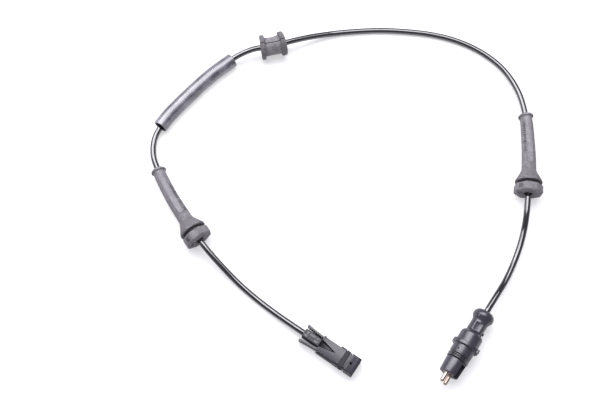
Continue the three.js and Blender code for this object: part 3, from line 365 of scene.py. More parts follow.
def emptied(made):
    """The points and faces of a bmesh, which is then freed"""
    made.verts.index_update()
    shape = [tuple(v.co) for v in made.verts], [tuple(v.index for v in f.verts) for f in made.faces]
    made.free()
    return shape


def rounded_box(size, at, ease=0.15):
    """A box with eased edges; size and middle in mm, as points and faces"""
    made = bmesh.new()
    bmesh.ops.create_cube(made, size=1.0)
    bmesh.ops.scale(made, vec=size, verts=made.verts)
    bmesh.ops.bevel(made, geom=made.edges[:], offset=ease, segments=2, affect="EDGES", profile=0.5)
    bmesh.ops.translate(made, vec=at, verts=made.verts)
    return emptied(made)


def joined(parts):
    """Several (points, faces) as one"""
    points, faces = [], []
    for more_points, more_faces in parts:
        faces += [tuple(i + len(points) for i in f) for f in more_faces]
        points += [tuple(p) for p in more_points]
    return points, faces


def turned_about(points, angle):
    """Points turned about the along axis by an angle in radians"""
    c, s = math.cos(angle), math.sin(angle)
    return [(x * c - y * s, x * s + y * c, z) for x, y, z in points]


def finished_mesh(holder):
    """A new mesh of an object with its modifiers or its text carried out"""
    bpy.context.view_layer.update()
    graph = bpy.context.evaluated_depsgraph_get()
    return bpy.data.meshes.new_from_object(holder.evaluated_get(graph))


def row_of_blocks(count, pitch, size, uneven, finish):
    """Geometry Nodes: a row of blocks along Z, each a little different, as points and faces in mm"""
    group = bpy.data.node_groups.new("row of raised blocks", "GeometryNodeTree")
    face = group.interface
    for name, kind in (("Count", "NodeSocketInt"), ("Pitch", "NodeSocketFloat"),
                       ("Block", "NodeSocketVector"), ("Uneven", "NodeSocketFloat")):
        face.new_socket(name, in_out="INPUT", socket_type=kind)
    face.new_socket("Geometry", in_out="OUTPUT", socket_type="NodeSocketGeometry")
    given = group.nodes.new("NodeGroupInput")
    step = put(group, "ShaderNodeCombineXYZ", {"Z": given.outputs["Pitch"]})
    line = put(group, "GeometryNodeMeshLine", {"Count": given.outputs["Count"], "Offset": step.outputs[0]})
    block = put(group, "GeometryNodeMeshCube", {
        "Size": given.outputs["Block"], "Vertices X": 2, "Vertices Y": 2, "Vertices Z": 2})
    low = put(group, "ShaderNodeMath", {0: 1.0, 1: given.outputs["Uneven"]}, operation="SUBTRACT")
    high = put(group, "ShaderNodeMath", {0: 1.0, 1: given.outputs["Uneven"]}, operation="ADD")
    size_each = put(group, "FunctionNodeRandomValue", {
        2: low.outputs[0], 3: high.outputs[0], "Seed": 7}, data_type="FLOAT")
    row = put(group, "GeometryNodeInstanceOnPoints", {
        "Points": line.outputs[0], "Instance": block.outputs[0], "Scale": size_each.outputs[1]})
    real = put(group, "GeometryNodeRealizeInstances", {"Geometry": row.outputs[0]})
    coloured = put(group, "GeometryNodeSetMaterial", {"Geometry": real.outputs[0], "Material": finish})
    put(group, "NodeGroupOutput", {"Geometry": coloured.outputs[0]})
    holder = bpy.data.objects.new("row", bpy.data.meshes.new("row"))
    bpy.context.scene.collection.objects.link(holder)
    nodes = holder.modifiers.new("row", "NODES")
    nodes.node_group = group
    values = {"Count": count, "Pitch": pitch, "Block": size, "Uneven": uneven}
    for item in face.items_tree:
        if item.item_type == "SOCKET" and item.in_out == "INPUT":
            nodes[item.identifier] = values[item.name]
    done = finished_mesh(holder)
    shape = [tuple(v.co) for v in done.vertices], [tuple(f.vertices) for f in done.polygons]
    bpy.data.objects.remove(holder)
    return shape


# The mould's marks: two short ribs and a raised ring on the collar, and a row of small raised blocks
# beside the panel, where the real one has lettering. All are sunk a little into the rubber.
rib_size, rib_shift, rib_rise, rib_turn = (1.1, 0.8, 3.4), 0.95, 0.15, math.radians(45)
ring_profile = ((1.1, 0.3), (1.1, -0.12), (1.25, -0.2), (1.55, -0.2), (1.7, -0.12), (1.7, 0.3))
ring_at, ring_sides = (7.2, 1.0), 28
letter_count, letter_pitch, letter_size, letter_uneven, letter_sunk = 14, 2.1, (1.0, 1.5, 1.1), 0.25, 0.22


def collar_marks():
    """The two ribs on one side of the collar and the ring on its end face, as (points, faces)"""
    parts = []
    for shift in (-rib_shift, rib_shift):
        points, faces = rounded_box(rib_size, (collar + rib_rise, shift, collar_length / 2 + 0.3))
        parts.append((turned_about(points, rib_turn), faces))
    points = [(r * math.cos(a) + ring_at[0], r * math.sin(a) + ring_at[1], h) for r, h in ring_profile
              for a in (2 * math.pi * k / ring_sides for k in range(ring_sides))]
    parts.append((points, skin(len(ring_profile), ring_sides, True)))
    return parts


def stem_marks(angle, start):
    """The row of blocks along the stem, at an angle in degrees and from a start in mm past the cone"""
    points, faces = row_of_blocks(letter_count, letter_pitch, letter_size, letter_uneven, rubber)
    places = [(x + stem_radius(stem_from + start + z) - letter_sunk, y, stem_from + start + z)
              for x, y, z in points]
    return turned_about(places, math.radians(angle)), faces


def recoloured(finish, name, dark, light):
    """A copy of a finish that goes between two other colours"""
    made = finish.copy()
    made.name = name
    for slot, shade in ((6, dark), (7, light)):
        made.node_tree.nodes["Mix"].inputs[slot].default_value = linear(shade)
    return made


# The panel on the stem comes off a polished insert in the mould, so it is the same rubber with more shine,
# and its colour is painted lighter as painted sheen.
panel_rubber = recoloured(rubber, "grey EPDM rubber, moulded on polished steel", "#7b787d", "#b6b3b9")
panel_surface = panel_rubber.node_tree.nodes["Principled BSDF"]
panel_surface.inputs["Roughness"].default_value = 0.5
panel_surface.inputs["Specular IOR Level"].default_value = 0.8


def darkened(finish, name, shade_of):
    """A copy of a rubber whose colour is multiplied by what shade_of makes from the place before bending"""
    made = finish.copy()
    made.name = name
    tree = made.node_tree
    own = put(tree, "ShaderNodeAttribute", attribute_name="own_place")
    split = put(tree, "ShaderNodeSeparateXYZ", {0: own.outputs["Vector"]})
    surface = tree.nodes["Principled BSDF"]
    plain = surface.inputs["Base Color"].links[0].from_socket
    shaded = put(tree, "ShaderNodeMix", {0: 1.0, 6: plain, 7: shade_of(tree, split)},
                 data_type="RGBA", blend_type="MULTIPLY")
    tree.links.new(shaded.outputs[2], surface.inputs["Base Color"])
    return made


def from_middle(tree, split, middle, near, far, shades):
    """A shade that goes from the first to the second over a distance in metres from a place along"""
    offset = put(tree, "ShaderNodeMath", {0: split.outputs["Z"], 1: middle}, operation="SUBTRACT")
    away = put(tree, "ShaderNodeMath", {0: offset.outputs[0]}, operation="ABSOLUTE")
    return put(tree, "ShaderNodeMapRange", {
        "Value": away.outputs[0], "From Min": near, "From Max": far,
        "To Min": shades[0], "To Max": shades[1]}).outputs[0]


# The cone is painted a shade darker than the stem and the collar, and the bracket groove dark, as painted
# shade.
cone_shades, groove_shade = (0.86, 1.03), 0.22


def grommet_shade(tree, split):
    flat = put(tree, "ShaderNodeCombineXYZ", {"X": split.outputs["X"], "Y": split.outputs["Y"]})
    radius = put(tree, "ShaderNodeVectorMath", {0: flat.outputs[0]}, operation="LENGTH")
    middle, half_length = (collar_length + groove_length / 2) / 1000, (groove_length / 2 + 0.05) / 1000
    inside = put(tree, "ShaderNodeMath", {
        0: split.outputs["Z"], 1: middle, 2: half_length}, operation="COMPARE")
    deep = put(tree, "ShaderNodeMath", {
        0: radius.outputs["Value"], 1: (groove_width / 2 + 0.7) / 1000}, operation="LESS_THAN")
    groove = put(tree, "ShaderNodeMath", {0: inside.outputs[0], 1: deep.outputs[0]}, operation="MULTIPLY")
    # Painted shade: the groove is drawn dark.
    groove_shaded = put(tree, "ShaderNodeMapRange", {
        "Value": groove.outputs[0], "To Min": 1.0, "To Max": groove_shade})
    cone_shade = from_middle(tree, split, middle=0.015, near=0.003, far=0.008, shades=cone_shades)
    return put(tree, "ShaderNodeMath", {
        0: groove_shaded.outputs[0], 1: cone_shade}, operation="MULTIPLY").outputs[0]


grommet_rubber = darkened(rubber, "grey EPDM rubber, moulded, dirty in the groove", grommet_shade)
# The marks are painted darker than the rubber round them, as painted shade round raised lettering and ribs.
mark_rubber = recoloured(rubber, "grey EPDM rubber, moulded, dirty round small marks", "#4e4c51", "#747277")

plain_points, plain_faces = grommet_places(), skin(len(outline), grommet_sides, True)
body_faces = len(plain_faces)


def on_panel(face):
    """Whether a face of a grommet's own body lies on the panel"""
    if face.index >= body_faces:
        return False
    corners = [plain_points[i] for i in face.vertices]
    return all(panel_from < along < grommet_end and y > 0 and abs(x) < panel_width / 2 - 0.1
               for x, y, along in corners)


for name, node, at, backwards, marks_turn, marks_start in (
    ("grommet_near_head", "large_grommet_1", 125.6, False, 132, 7),
    ("grommet_near_plug", "large_grommet_2", 713.6, True, 50, 17),
):
    shape_points, shape_faces = joined([
        (plain_points, plain_faces), *collar_marks(), stem_marks(marks_turn, marks_start)])
    places = carry(cable_line, shape_points, at, backwards)
    piece = mesh_piece(name, places / 1000, shape_faces, grommet_rubber, sharp=36, own=shape_points,
                       second=panel_rubber, picked=on_panel)
    # The marks take the darker rubber, which is painted shade.
    piece.data.materials.append(mark_rubber)
    for face in piece.data.polygons:
        if face.index >= body_faces:
            face.material_index = 2
    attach(piece, "root")
    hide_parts(node)


# Hose: a loose length of extruded black plastic hose that keeps the cable from chafing. It is cut off
# square with a knife and lies on the bench with the cable loose inside it.
hose_width, hose_wall, hose_rest = 12.6, 1.5, 0.05
hose_points = [(-227.2, 78), (-227.3, 90), (-226.5, 100), (-224, 120.5), (-220, 144), (-214, 165.5)]
hose_line = smooth_route([(x, y, hose_width / 2 + hose_rest) for x, y in hose_points])
hose_length = distances(hose_line)[-1]
outer, inner = hose_width / 2, hose_width / 2 - hose_wall
wall = eased([
    (inner, hose_length / 2), *run_along((inner, hose_length / 2), (inner, 0), 3), (inner, 0, 0.12),
    (outer, 0, 0.2), *run_along((outer, 0), (outer, hose_length), 3), (outer, hose_length, 0.2),
    (inner, hose_length, 0.12), *run_along((inner, hose_length), (inner, hose_length / 2), 3),
])
hose_sides, hose_slant, slant_turns = 64, 0.22, (0.6, 2.4)
hose_shape = []
for radius, along in wall:
    for k in range(hose_sides):
        angle = 2 * math.pi * k / hose_sides
        near_end = max(0, 1 - min(along, hose_length - along) / 2)
        low_side = slant_turns[0] if along < hose_length / 2 else slant_turns[1]
        slant = hose_slant * near_end * math.cos(angle - low_side)
        hose_shape.append((radius * math.cos(angle), radius * math.sin(angle),
                           min(max(along + slant, 0), hose_length)))

# Polyamide that left the die with fine lines along it and has gone grey with handling: satin, with
# streaks that run its whole length and shine where the light box meets them. The streaks also run light
# and dark in the colour, partly as the die lines and partly as painted sheen. The real ones are 0.5 mm
# apart, and are drawn about 2 mm apart so that they show.
hose_plastic, tree, out = material("black polyamide hose, extruded")
own = put(tree, "ShaderNodeAttribute", attribute_name="own_place")
drawn = put(tree, "ShaderNodeMapping", {"Vector": own.outputs["Vector"], "Scale": (1.0, 1.0, 0.012)})
streaks = put(tree, "ShaderNodeTexNoise", {"Vector": drawn.outputs[0], "Scale": 420.0, "Detail": 2.0})
place = put(tree, "ShaderNodeTexCoord")
smear = put(tree, "ShaderNodeTexNoise", {"Vector": place.outputs["Object"], "Scale": 90.0, "Detail": 4.0})
# Painted sheen: the light and dark of the streaks in the colour stand partly for the sheen along the hose.
streaks_and_sheen = put(tree, "ShaderNodeMath", {0: streaks.outputs[0], 1: smear.outputs[0]}, operation="MULTIPLY")
tone = put(tree, "ShaderNodeMapRange", {
    "Value": streaks_and_sheen.outputs[0], "From Min": 0.15, "From Max": 0.38})
colour = put(tree, "ShaderNodeMix", {
    0: tone.outputs[0], 6: linear("#46444e"), 7: linear("#a09ea8")}, data_type="RGBA")
gloss = put(tree, "ShaderNodeMapRange", {
    "Value": smear.outputs[0], "From Min": 0.3, "From Max": 0.7, "To Min": 0.26, "To Max": 0.3})
bump = put(tree, "ShaderNodeBump", {"Height": streaks.outputs[0], "Strength": 0.06, "Distance": 0.0002})
body = put(tree, "ShaderNodeBsdfPrincipled", {
    "Base Color": colour.outputs[2], "Roughness": gloss.outputs[0], "IOR": 1.53,
    "Specular IOR Level": 1.0, "Coat Weight": 1.0, "Coat Roughness": 0.25, "Coat IOR": 1.8,
    "Normal": bump.outputs[0]})
tree.links.new(body.outputs[0], out.inputs["Surface"])
hose = mesh_piece("hose", carry(hose_line, hose_shape) / 1000, skin(len(wall), hose_sides, True),
                  hose_plastic, own=hose_shape)
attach(hose, "root")
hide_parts("protective_hose")


# Small grommet: a soft rubber spool, slit along its top so that it opens over the cable. It is moulded
# like the large ones, and use has left its flanges a little out of round. Its colour is painted lighter
# in the middle of the drum, as painted light, and darker towards and over the flanges.
spool_at, spool_length, spool_bore = 359, 21.4, 5.6
flange_width, flange_length, drum_width = 21.6, 3.9, 16.6
slit_width, slit_turn = 0.7, math.radians(7)
flange, drum, far = flange_width / 2, drum_width / 2, spool_length - flange_length
spool_outline = eased([
    (spool_bore / 2, spool_length / 2),
    *run_along((spool_bore / 2, spool_length / 2), (spool_bore / 2, 0), 2), (spool_bore / 2, 0, 0.3),
    (flange, 0, 0.9), (flange, flange_length, 0.9), (drum, flange_length, 0.8),
    *run_along((drum, flange_length + 1), (drum - 0.25, spool_length / 2), 1.5),
    *run_along((drum - 0.25, spool_length / 2), (drum, far - 1), 1.5),
    (drum, far, 0.8), (flange, far, 0.9), (flange, spool_length, 0.9), (spool_bore / 2, spool_length, 0.3),
    *run_along((spool_bore / 2, spool_length), (spool_bore / 2, spool_length / 2), 2),
])
spool_sides, worn_oval, worn_ripple, worn_down = 88, 0.22, 0.10, 0.1
spool_shape = []
for radius, along in spool_outline:
    gap = slit_width / 2 / radius
    for k in range(spool_sides + 1):
        angle = math.pi / 2 + slit_turn + gap + (2 * math.pi - 2 * gap) * k / spool_sides
        worn = (worn_oval * math.sin(2 * angle + along * 0.4)
                + worn_ripple * math.sin(5 * angle + 1 + along * 0.2))
        in_bore = radius <= spool_bore / 2 + 0.1
        r = radius if in_bore else radius + (worn * (radius - spool_bore / 2) / flange - worn_down)
        spool_shape.append((r * math.cos(angle), r * math.sin(angle), along))
row = spool_sides + 1
rows = len(spool_outline)
spool_faces = [(r * row + s, r * row + s + 1, (r + 1) % rows * row + s + 1, (r + 1) % rows * row + s)
               for r in range(rows) for s in range(spool_sides)]
spool_faces.append(tuple(r * row for r in range(rows)))
spool_faces.append(tuple(r * row + spool_sides for r in range(rows))[::-1])
# Painted light: the drum's middle is drawn a little lighter, and the colour falls darker towards and over
# the flanges.
spool_shades = (1.06, 0.72)
spool_rubber = darkened(
    rubber, "grey EPDM rubber, moulded, dirty at the flanges",
    lambda tree, split: from_middle(
        tree, split, middle=spool_length / 2000, near=0.0048, far=0.0072, shades=spool_shades))
spool = mesh_piece("split_grommet", carry(cable_line, spool_shape, spool_at) / 1000, spool_faces,
                   spool_rubber, own=spool_shape)
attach(spool, "root")
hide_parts("small_grommet")


# Plug boot: the soft bulb and neck that grip the cable, moulded in black, with a flat pad and a small
# nub on the neck. Its spigot runs into the plug body.
plug_at = np.array((85.4, 93.6, 11.05))
plug_roll = math.radians(33)
plug_sides = 96


def on_plug(points, roll=0.0):
    """Places along the plug's axis, from the boot's rear, as places in metres"""
    return [((plug_at + (x, -w, y)) / 1000) for x, y, w in turned_about(points, roll)]


def clean_shell(points, faces, merge=None):
    """Merges points nearer than that, which closes the poles, and turns the faces outwards"""
    made = bmesh.new()
    verts = [made.verts.new(p) for p in points]
    for face in faces:
        made.faces.new([verts[i] for i in face])
    if merge:
        bmesh.ops.remove_doubles(made, verts=made.verts, dist=merge)
    bmesh.ops.recalc_face_normals(made, faces=made.faces)
    return emptied(made)


def turned(profile, sides=plug_sides, looped=True):
    """Points and faces of a profile turned about the along axis"""
    points = [(r * math.cos(a), r * math.sin(a), w) for r, w in profile
              for a in (2 * math.pi * (k + 0.5) / sides for k in range(sides))]
    return clean_shell(points, skin(len(profile), sides, looped), 1e-4)


def worked(name, base, added=(), removed=(), finish=None, sharp=30):
    """A shell with others joined to it and cut out of it, as one mesh piece"""
    piece = mesh_piece(name, base[0], base[1], finish, sharp)
    tools = []
    for how, shells in (("UNION", added), ("DIFFERENCE", removed)):
        for points, faces in shells:
            tool = mesh_piece(name + "_tool", points, faces, finish)
            tools.append(tool)
            step = piece.modifiers.new("step", "BOOLEAN")
            step.operation = how
            step.solver = "EXACT"
            step.object = tool
    done = finished_mesh(piece)
    piece.modifiers.clear()
    piece.data = done
    done.materials.clear()
    done.materials.append(finish)
    done.polygons.foreach_set("material_index", [0] * len(done.polygons))
    done.polygons.foreach_set("use_smooth", [True] * len(done.polygons))
    done.set_sharp_from_angle(angle=math.radians(sharp))
    for tool in tools:
        bpy.data.objects.remove(tool)
    return piece


def placed(shell, roll=0.0):
    """A shell in mm on the plug's axis, as one in metres in the part's frame"""
    points, faces = shell
    return clean_shell(on_plug(points, roll), faces)


# Glass-filled polyamide off a fine-eroded mould: satin, with clouds about 8 mm across where it flowed in,
# and a grain of 0.6 mm, drawn that coarse because the real one of 0.1 mm doesn't show.
plug_plastic = drifting(
    "black glass-filled polyamide, moulded", ["#3a3742", "#484551"], gloss=(0.27, 0.36),
    cloud={"Scale": 120.0, "Detail": 4.0, "Roughness": 0.6}, grain={"Scale": 1600.0, "Detail": 3.0},
    relief=(0.08, 0.0002),
    looks={"IOR": 1.53, "Specular IOR Level": 1.0, "Coat Weight": 0.5, "Coat Roughness": 0.25})

bulb_length, bulb_width, bulb_face, bulb_crest = 10.6, 17.2, 9.6, 4.8
neck_length, neck_width, pad_length, pad_width, pad_depth = 9.0, 13.0, 7.4, 6.0, 0.7
spigot_width, spigot_length, boot_gap = 10.6, 6.4, 0.3
neck_end = bulb_length + neck_length
swell = [(bulb_face / 2 + (bulb_width - bulb_face) / 2 * math.sin(a), bulb_crest * (1 - math.cos(a)))
         for a in np.linspace(0.5, math.pi / 2, 8)]
fall = [(neck_width / 2 + (bulb_width - neck_width) / 2 * (1 + math.cos(math.pi * t)) / 2,
         bulb_crest + (bulb_length - bulb_crest) * t) for t in np.linspace(0.08, 0.95, 12)]
boot_outline = eased([
    (spool_bore / 2, 3), (spool_bore / 2, 0.4, 0.3), (bulb_face / 2, 0.4, 0.5), *swell, *fall,
    (neck_width / 2, bulb_length + 0.6), (neck_width / 2, neck_end - boot_gap, 0.3),
    (spigot_width / 2, neck_end - boot_gap), (spigot_width / 2, neck_end - boot_gap + spigot_length),
    (spool_bore / 2, neck_end - boot_gap + spigot_length),
])


def stud(foot, top, length, radius, along, angle):
    """A short round stud that points away from the plug's axis; its middle is at the radius given"""
    made = bmesh.new()
    bmesh.ops.create_cone(made, cap_ends=True, segments=24, radius1=foot / 2, radius2=top / 2, depth=length)
    bmesh.ops.rotate(made, verts=made.verts, matrix=Matrix.Rotation(math.pi / 2, 3, "Y"))
    bmesh.ops.translate(made, verts=made.verts, vec=(radius, 0, along))
    points, faces = emptied(made)
    return turned_about(points, angle), faces


nub = stud(foot=2.6, top=2.3, length=1.9, radius=neck_width / 2 - 0.05, along=neck_end - 2.6, angle=0.0)
pip = stud(foot=1.6, top=1.0, length=1.6, radius=bulb_width / 2 - 0.85, along=7.1, angle=math.radians(117))
pad_middle = (0, neck_width / 2 - pad_depth + (pad_depth + 1) / 2, bulb_length + neck_length / 2)
pad_cut = rounded_box((pad_width, pad_depth + 1, pad_length), pad_middle, 0.3)
boot = worked("plug_boot", placed(turned(boot_outline)), added=[placed(nub), placed(pip)],
              removed=[placed(pad_cut)], finish=plug_plastic)
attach(boot, "root")
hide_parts("rear_boot")


# Plug body: the hard shell of the plug, with a flange that stops it in its socket, one tab and two lugs
# that show its turn, a seat for the seal and a tapered nose with the key slot and the pin holes.
rear_width, rear_length, shoulder_length = 18.2, 11.0, 3.0
stop_width, stop_length = 22.0, 3.2
barrel_width, barrel_length, step_length, step_depth = 17.6, 6.4, 1.2, 0.3
seat_width, seat_length = 14.6, 4.4
nose_length, nose_rear, nose_front = 12.3, 16.6, 15.4
body_bore, nose_wall = 11.2, 14.0
slot_width, slot_floor, slot_length = 5.8, 4.2, 11.2
pin_width, pin_spacing, pin_clear = 3.2, 6.8, 0.3
stop_from = neck_end + rear_length
barrel_from = stop_from + stop_length
step_from = barrel_from + barrel_length
seat_from = step_from + step_length
nose_from = seat_from + seat_length
nose_end = nose_from + nose_length
bore_end = nose_end - nose_wall
body_outline = eased([
    (0, bore_end), (body_bore / 2, bore_end), (body_bore / 2, neck_end, 0.2),
    (neck_width / 2 + 0.2, neck_end, 0.4), (8.6, neck_end + 1.8, 1.2),
    (rear_width / 2, neck_end + shoulder_length, 1.0),
    (rear_width / 2, stop_from, 0.3), (stop_width / 2, stop_from, 0.5), (stop_width / 2, barrel_from, 0.5),
    (barrel_width / 2, barrel_from, 0.3), (barrel_width / 2, step_from, 0.2),
    (barrel_width / 2 - step_depth, step_from, 0.1), (barrel_width / 2 - step_depth, seat_from, 0.3),
    (seat_width / 2, seat_from, 0.2), (seat_width / 2, nose_from, 0.2), (nose_rear / 2, nose_from, 0.4),
    (nose_front / 2, nose_end, 0.7), (0, nose_end),
])
tab = rounded_box((2.6, 2.4, stop_length), (stop_width / 2 + 0.1, 0, stop_from + stop_length / 2), 0.25)
lugs = [rounded_box((2.6, 1.5, 1.5), (0, side * (barrel_width / 2 + 0.55), barrel_from - 0.25), 0.2)
        for side in (1, -1)]
slot_cut = rounded_box((nose_rear / 2, slot_width, slot_length + 2),
                       (slot_floor + nose_rear / 4, 0, nose_end - slot_length / 2 + 1), 0.35)


def at_pin(shell, side):
    """A shell on the plug's axis, moved to the place of one pin"""
    points, faces = shell
    return [(x, y + side * pin_spacing / 2, w) for x, y, w in points], faces


pin_hole = pin_width / 2 + pin_clear
pin_cut = turned([
    (0, bore_end - 1), (2.5, bore_end - 1), (2.5, bore_end + 1.4), (pin_hole, bore_end + 1.4),
    (pin_hole, nose_end + 1), (0, nose_end + 1)], sides=32, looped=False)
gate_mark = stud(foot=1.5, top=1.5, length=2.4, radius=barrel_width / 2, along=38.3,
                 angle=math.atan2(7.73, -4.2))
plug = worked("plug_shell", placed(turned(body_outline, looped=False), plug_roll),
              added=[placed(tab, plug_roll), *(placed(lug, plug_roll) for lug in lugs)],
              removed=[placed(slot_cut, plug_roll), placed(gate_mark),
                       *(placed(at_pin(pin_cut, side), plug_roll) for side in (1, -1))],
              finish=plug_plastic)
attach(plug, "root")
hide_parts("plug_body")

# Pin numbers: a 1 and a 2, each in a small ring, raised on the nose face beside their pins.
number_size, number_rise, number_shift, number_aside = 2.6, 0.08, -4.8, 3.65
number_ring = [(1.3, -0.1), (1.5, -0.1), (1.5, 0.1), (1.3, 0.1)]
marks = []
for number, side in (("1", -1), ("2", 1)):
    text = bpy.data.curves.new("number", "FONT")
    text.body = number
    text.size = number_size
    text.extrude = number_rise
    text.align_x = "CENTER"
    text.align_y = "CENTER"
    drawn_text = bpy.data.objects.new("number", text)
    bpy.context.scene.collection.objects.link(drawn_text)
    flat = finished_mesh(drawn_text)
    middle = (number_shift, side * number_aside, nose_end + 0.05)
    points = [tuple(np.array(v.co) + middle) for v in flat.vertices]
    marks.append((points, [tuple(p.vertices) for p in flat.polygons]))
    bpy.data.objects.remove(drawn_text)
    ring_points, ring_faces = turned(number_ring, sides=40)
    marks.append(([tuple(np.array(p) + middle) for p in ring_points], ring_faces))
numbers = mesh_piece("pin_numbers", *placed(joined(marks), plug_roll), plug_plastic)
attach(numbers, "root")


# Plug seal: a black silicone ring with two rounded lips, stretched over its seat behind the nose and
# slightly wet with grease, which lies in patches of about 3 mm and gives it a wet line of light.
seal_rubber = drifting(
    "black silicone rubber, greased", ["#2a292f"], gloss=(0.28, 0.34),
    cloud={"Scale": 300.0, "Detail": 3.0},
    looks={"IOR": 1.45, "Coat Weight": 1.0, "Coat Roughness": 0.2, "Coat IOR": 1.8})
seal_inner, seal_outer = seat_width / 2 + 0.3, 8.9
seal_from, seal_length = seat_from + 0.3, seat_length - 0.6
lips = []
for k in range(2):
    start = seal_from + k * seal_length / 2
    lips += [(seal_outer - 0.5 + 0.5 * math.sin(a), start + seal_length / 2 * a / math.pi)
             for a in np.linspace(0.12, math.pi - 0.12, 9)]
seal_outline = [(seal_inner, seal_from + seal_length), (seal_inner, seal_from), *lips]
seal = mesh_piece("plug_seal_ring", *placed(turned(seal_outline), plug_roll), seal_rubber)
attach(seal, "root")
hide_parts("plug_seal")


# Contact pins: two turned brass pins under a thin pale gold plating, with round ends that guide them in.
# The plating is bright, and rubbed duller in patches of about 2 mm.
plating = drifting(
    "gold-plated brass, turned", ["#d8bca6", "#f2e4d8"], gloss=(0.16, 0.28),
    cloud={"Scale": 500.0, "Detail": 4.0}, looks={"Metallic": 1.0})
pin_end = nose_end + 8.4
pin_outline = eased([
    (0, bore_end - 5), (1.3, bore_end - 5, 0.2), (1.3, bore_end + 0.3), (2.2, bore_end + 0.3),
    (2.2, bore_end + 1.1), (pin_width / 2, bore_end + 1.1), (pin_width / 2, pin_end - pin_width / 2),
    *[(pin_width / 2 * math.cos(a), pin_end - pin_width / 2 * (1 - math.sin(a)))
      for a in np.linspace(0.2, 1.45, 8)],
    (0, pin_end),
])
for number, side in ((1, -1), (2, 1)):
    plated = at_pin(turned(pin_outline, sides=40, looped=False), side)
    pin = mesh_piece(f"plated_pin_{number}", *placed(plated, plug_roll), plating)
    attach(pin, "root")
    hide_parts(f"contact_pin_{number}")


# Sensor head: one black moulding with its edges eased by the mould, closed round the coil. The shape is
# the part's own, with a small radius added on each hard edge.
def eased_copy(node, name, finish, radius, reach=None, sharp=18, second=None, picked=None, more=()):
    """The node's own shape with its hard edges rounded; reach leaves out edges that it says no to, and
    more holds small shapes in mm that are moulded on it"""
    made = bmesh.new()
    made.from_mesh(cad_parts[node].data)
    bmesh.ops.remove_doubles(made, verts=made.verts, dist=2e-6)
    bmesh.ops.dissolve_limit(made, angle_limit=math.radians(0.5), verts=made.verts, edges=made.edges)
    hard = [e for e in made.edges if len(e.link_faces) == 2 and e.calc_face_angle(0) > math.radians(35)
            and e.calc_length() > 2 * radius and (reach is None or all(reach(v.co) for v in e.verts))]
    bmesh.ops.bevel(made, geom=hard, offset=radius, segments=2, profile=0.5, affect="EDGES",
                    clamp_overlap=True)
    added = [([tuple(np.array(place) / 1000) for place in points], faces) for points, faces in more]
    points, faces = joined([emptied(made), *added])
    return mesh_piece(name, points, faces, finish, sharp, second=second, picked=picked)


# Black polyamide off a plain steel mould: satin, with clouds about 7 mm across where it flowed in, and a
# grain that is drawn 0.7 mm wide, about five times the real one, so that it shows.
head_plastic = drifting(
    "black polyamide sensor body, moulded", ["#2f2d37", "#413e49"], gloss=(0.30, 0.42),
    cloud={"Scale": 150.0, "Detail": 5.0, "Roughness": 0.65}, grain={"Scale": 1500.0, "Detail": 3.0},
    relief=(0.08, 0.0002),
    looks={"IOR": 1.53, "Specular IOR Level": 1.0, "Coat Weight": 0.3, "Coat Roughness": 0.3})


def same_plastic(name, roughness, mirror):
    """The head's plastic off another part of the mould, with one roughness all over"""
    made = head_plastic.copy()
    made.name = name
    surface = made.node_tree.nodes["Principled BSDF"]
    made.node_tree.links.remove(surface.inputs["Roughness"].links[0])
    surface.inputs["Roughness"].default_value = roughness
    surface.inputs["Specular IOR Level"].default_value = mirror
    return made


# The V between the legs and the cable-end block are left as the eroded mould gives them, so they don't
# shine. The pads on the block come off polished steel, and look pale where they meet the light.
matt_plastic = same_plastic("black polyamide sensor body, eroded mould", 0.55, 0.7)
bright_plastic = same_plastic("black polyamide sensor body, polished mould", 0.3, 1.0)

# In the recess, painted shade darkens both edges of the V, as a dark line about 1 mm wide, and its
# deep rear end, where the walls shade the floor. The blind hole in the tip is painted dark with the
# same painted shade.
wing_root, ring_middle, ring_reach, hole_reach = -0.0088, 0.019, 0.0032, 0.0012
head_top, pad_foot = 0.012, 0.0108
recess_rear, recess_floor = -0.0091, 0.0088
v_point, v_slope = 0.0053, 0.231
recess_plastic = matt_plastic.copy()
recess_plastic.name = "black polyamide sensor body, eroded mould, dirty in the corners"
tree = recess_plastic.node_tree
place = put(tree, "ShaderNodeTexCoord")
spot = put(tree, "ShaderNodeSeparateXYZ", {0: place.outputs["Object"]})
aside = put(tree, "ShaderNodeMath", {0: spot.outputs["Y"]}, operation="ABSOLUTE")
behind = put(tree, "ShaderNodeMath", {0: v_point, 1: spot.outputs["X"]}, operation="SUBTRACT")
open_width = put(tree, "ShaderNodeMath", {0: behind.outputs[0], 1: v_slope}, operation="MULTIPLY")
from_edge = put(tree, "ShaderNodeMath", {
    0: open_width.outputs[0], 1: aside.outputs[0]}, operation="SUBTRACT")
edge_unshaded = put(tree, "ShaderNodeMapRange", {
    "Value": from_edge.outputs[0], "From Min": 0.0003, "From Max": 0.0012})
rear_unshaded = put(tree, "ShaderNodeMapRange", {
    "Value": spot.outputs["X"], "From Min": -0.009, "From Max": -0.001, "To Min": 0.1, "To Max": 1.0})
unshaded_share = put(tree, "ShaderNodeMath", {
    0: edge_unshaded.outputs[0], 1: rear_unshaded.outputs[0]}, operation="MULTIPLY")
surface = tree.nodes["Principled BSDF"]
plain = surface.inputs["Base Color"].links[0].from_socket
# Painted shade: the V's edges, its rear end and the hole go towards near black.
painted_shade = put(tree, "ShaderNodeMix", {
    0: unshaded_share.outputs[0], 6: linear("#08080a"), 7: plain}, data_type="RGBA")
tree.links.new(painted_shade.outputs[2], surface.inputs["Base Color"])
for name, dull, bright in (
    ("Roughness", 0.95, 0.5), ("Specular IOR Level", 0.1, 0.7), ("Coat Weight", 0.0, 0.3),
):
    level = put(tree, "ShaderNodeMapRange", {"Value": unshaded_share.outputs[0], "To Min": dull, "To Max": bright})
    tree.links.new(level.outputs[0], surface.inputs[name])


